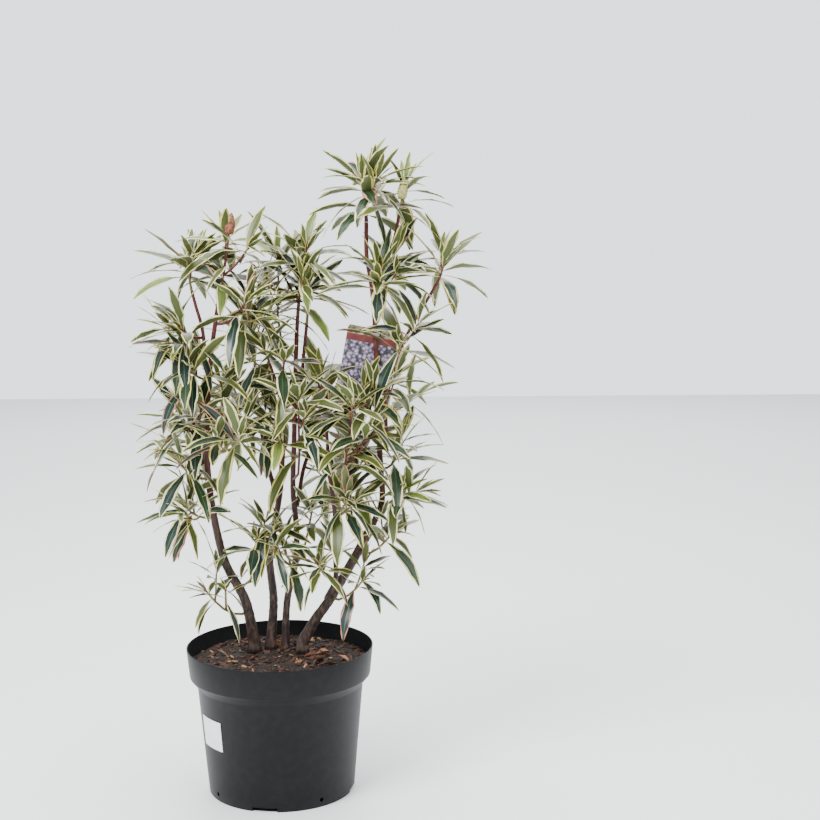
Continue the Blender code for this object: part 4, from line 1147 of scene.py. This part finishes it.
def make_litter():
    """Bark chips and dry fallen leaves on the compost."""
    rng = random.Random("litter")
    heap = Heap([*CHIP_TONES, "dry", "dry_pale", "rib", "stalk", "underside"])
    for _ in range(CHIP_COUNT):
        corners = chip_corners(rng)
        heap.add(corners, CHIP_FACES, rng.choices(CHIP_TONES, CHIP_CHANCES) * len(CHIP_FACES))
    for index in range(DRY_LEAF_COUNT):
        x, y = [rng.uniform(*limits) for limits in DRY_LEAF_PATCHES[index % 3 > 0]]
        if math.hypot(x, y) > DRY_LEAF_REACH:
            continue
        root = Vector((x, y, compost_height(x, y) + DRY_LEAF_LIFT))
        leaf = Leaf(root, *[rng.uniform(*limits) for limits in DRY_LEAF_LIMITS])
        tone = rng.choice(("dry", "dry", "dry_pale"))
        add_leaf(heap, leaf, tone, tone, rng)
    heap.piece("bark_chips_and_dry_leaves", "peat")


def tag_card(heap, place, axis, right, back, stand_off):
    """Add the bowed card with its strip, band and blossoms in front and a plain back."""
    tilt = Quaternion(back, math.radians(TAG_TILT))
    bm = bmesh.new()
    bmesh.ops.create_grid(bm, x_segments=len(TAG_COLUMNS) - 1, y_segments=len(TAG_ROWS) - 1, size=1)
    fields = ["print" if row <= TAG_BAND_ROW else "band" if row <= TAG_STRIP_ROW else "strip"
              for row in TAG_ROWS[1:]]
    for index, face in enumerate(bm.faces):
        face.material_index = heap.marks.index(fields[index // (len(TAG_COLUMNS) - 1)])
    for index, vert in enumerate(bm.verts):
        row, column = divmod(index, len(TAG_COLUMNS))
        rise = TAG_ROWS[row]
        wide = TAG_COLUMNS[column]
        corner = CORNER_SHARE if row in (0, len(TAG_ROWS) - 1) and abs(wide) > 0.45 else 1.0
        flat = right * (wide * corner * TAG_WIDTH + TAG_SHIFT) + axis * (rise - TAG_DROP_SHARE) * TAG_HEIGHT
        vert.co = (place + tilt @ flat
                   + back * (stand_off - TAG_THICKNESS / 2 + TAG_BOW * wide ** 2))
    front = list(bm.faces)
    bulk = bmesh.ops.extrude_face_region(bm, geom=front)["geom"]
    behind = [item for item in bulk if isinstance(item, bmesh.types.BMVert)]
    bmesh.ops.translate(bm, vec=back * TAG_THICKNESS, verts=behind)
    for face in set(bm.faces) - set(front):
        face.material_index = heap.marks.index("loop")
    bmesh.ops.recalc_face_normals(bm, faces=bm.faces)
    heap.take(bm)


def make_tag(limbs):
    """Rounded picture card on a loop: a plain strip, a band and a blossom pattern."""
    stem = limbs["stem_right_upper"]
    place, axis = point_along(stem["line"], TAG_SHARE)
    back = Vector((0, 1, 0))
    back = (back - axis * back.dot(axis)).normalized()
    right = back.cross(axis)
    bore = stem["radii"][round(TAG_SHARE * (len(stem["radii"]) - 1))] + LOOP_CLEARANCE
    heap = Heap(["print", "band", "strip", "loop"])
    tag_card(heap, place, axis, right, back, bore + LOOP_WALL * STAND_OFF_SHARE)
    loop = bmesh.new()
    middle = bore + LOOP_WALL / 2
    half = LOOP_WALL * LOOP_THICKNESS_SHARE / 2
    section = [loop.verts.new(place + right * (middle + out * half) + axis * up * LOOP_BAND / 2)
               for out, up in ((-1, -1), (1, -1), (1, 1), (-1, 1))]
    edges = [loop.edges.new(pair) for pair in zip(section, section[1:] + section[:1])]
    bmesh.ops.spin(loop, geom=section + edges, axis=axis, cent=place, dvec=(0, 0, 0),
                   angle=2 * math.pi, steps=LOOP_STEPS, use_merge=True)
    bmesh.ops.recalc_face_normals(loop, faces=loop.faces)
    heap.take(loop, "loop")
    item = heap.piece("picture_tag", "tag_card", ["name_tag"])
    item.data.set_sharp_from_angle(angle=math.radians(TAG_SHARP_ANGLE))


def group_of(name):
    """The joined piece that takes a spray's leaves."""
    return next(group for group, starts in GROUPS.items() if name.startswith(starts))


def dress_spray(spray, limbs, taken, leaf_heap, twig_heap):
    """Add one spray's leaves and twigs, and give back its buds."""
    shoots, buds, size = spray_plan(spray, limbs[spray.limb])
    finer_growth(spray, shoots, size)
    centre = shoots[0][0].line[-1]
    reach = SPACE_MARGIN + spray.length * SPACE_LENGTH_SHARE
    tones = random.Random(spray.name + " colours")
    mood = tones.choice(MOODS)
    own = []
    for twig, leaves in shoots:
        red = centre.z > RED_SHOOT_HEIGHT and tones.random() < RED_SHOOT_CHANCE
        tube = closed_tube(tube_rings(twig.line, twig_radii(twig), SHOOT_SIDES))
        twig_heap.take(tube, "red_shoot" if red else "shoot")
        for index, leaf in enumerate(leaves):
            young = index >= len(leaves) - CENTRE_LEAVES
            blade = "leaf_young" if young else tones.choices(LEAF_TONES, mood)[0]
            edge = tones.choices(MARGIN_TONES, MARGIN_CHANCES)[0]
            fitted = leaf_with_room(leaf, taken, own, centre, reach)
            if fitted is not None:
                add_leaf(leaf_heap, fitted, blade, edge, tones)
    return buds


def make_plant():
    """Limbs first, then each spray's twigs, buds and leaves, dealt out to a few joined pieces."""
    limbs = {}
    for limb in LIMBS:
        line = limb_line(limb, limbs, LIMB_STEPS)
        limbs[limb.name] = {"line": line, "tree": node_tree(limb.name), "radii": limb_radii(limb, line)}
    for limb in LIMBS:
        bark_skin(limb, limbs)
    make_tag(limbs)
    taken = [limb["tree"] for limb in limbs.values()] + [node_tree("name_tag"), node_tree("pot")]
    heaps = {group: Heap([*LEAF_TONES, *MARGIN_TONES, "rib", "stalk", "underside"])
             for group in GROUPS}
    nodes = {group: [] for group in GROUPS}
    twig_heap = Heap(["shoot", "red_shoot"])
    bud_heap = Heap(["flower_bud", "leaf_bud", "red_bud"])
    for spray in SPRAYS:
        group = group_of(spray.name)
        nodes[group].append(spray.name)
        for bud in dress_spray(spray, limbs, taken, heaps[group], twig_heap):
            kind = "leaf_bud" if bud.length > LONG_BUD_LENGTH else "red_bud"
            if bud.radius > FAT_BUD_RADIUS:
                bud = bud._replace(length=bud.length * FAT_BUD_LONGER, radius=bud.radius * FAT_BUD_WIDER)
                kind = "leaf_bud" if group == "leaves_right" else "flower_bud"
            add_bud(bud_heap, bud, kind)
    for group, heap in heaps.items():
        heap.piece(group, "leaf", nodes[group])
    twig_heap.piece("twigs", "young_bark")
    bud_heap.piece("buds", "leaf")


def make_room():
    """Air round the plant. The camera sees it brighter than the light it casts."""
    world = bpy.data.worlds.new("studio")
    bpy.context.scene.world = world
    world.use_nodes = True
    tree = world.node_tree
    cast = tree.nodes["Background"]
    cast.inputs["Color"].default_value = linear("#e9edf1")
    cast.inputs["Strength"].default_value = 1.3
    seen = add_node(tree, "ShaderNodeBackground", {"Color": linear("#eef2f6"), "Strength": 2.4})
    path = add_node(tree, "ShaderNodeLightPath")
    mix = add_node(tree, "ShaderNodeMixShader")
    tree.links.new(path.outputs["Is Camera Ray"], mix.inputs[0])
    tree.links.new(cast.outputs[0], mix.inputs[1])
    tree.links.new(seen.outputs[0], mix.inputs[2])
    tree.links.new(mix.outputs[0], tree.nodes["World Output"].inputs["Surface"])


def make_stage():
    """Pale floor in a bright room, with soft lamps from the left, the right, above and behind."""
    bm = bmesh.new()
    bmesh.ops.create_grid(bm, x_segments=1, y_segments=1, size=FLOOR_REACH)
    floor = new_item("floor", finished(bm))
    floor.data.materials.append(surface("pale_floor", "#fbfcfd", 0.6))
    make_room()
    for name, place, size, power in LAMPS:
        light = bpy.data.lights.new(name, "AREA")
        light.energy = power
        light.size = size
        lamp = new_item(name, light)
        lamp.location = place
        aside = Vector(LAMP_TARGET) - Vector(place)
        lamp.rotation_euler = aside.to_track_quat("-Z", "Y").to_euler()


def make_camera():
    """Camera at the photograph's place: slightly right of the pot, looking a little down."""
    lens = bpy.data.cameras.new("camera")
    lens.lens = CAMERA_LENS
    lens.shift_x, lens.shift_y = CAMERA_SHIFT
    camera = new_item("camera", lens)
    camera.location = CAMERA_PLACE
    tilt = Matrix.Rotation(math.radians(90 - CAMERA_DOWN), 3, "X")
    camera.rotation_euler = (tilt @ Matrix.Rotation(CAMERA_ROLL, 3, "Z")).to_euler()
    bpy.context.scene.camera = camera


SURFACES = make_surfaces()
make_pot()
make_compost()
make_litter()
make_plant()
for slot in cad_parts["pot_label"].material_slots:
    slot.material = SURFACES["paper"]
make_stage()
make_camera()
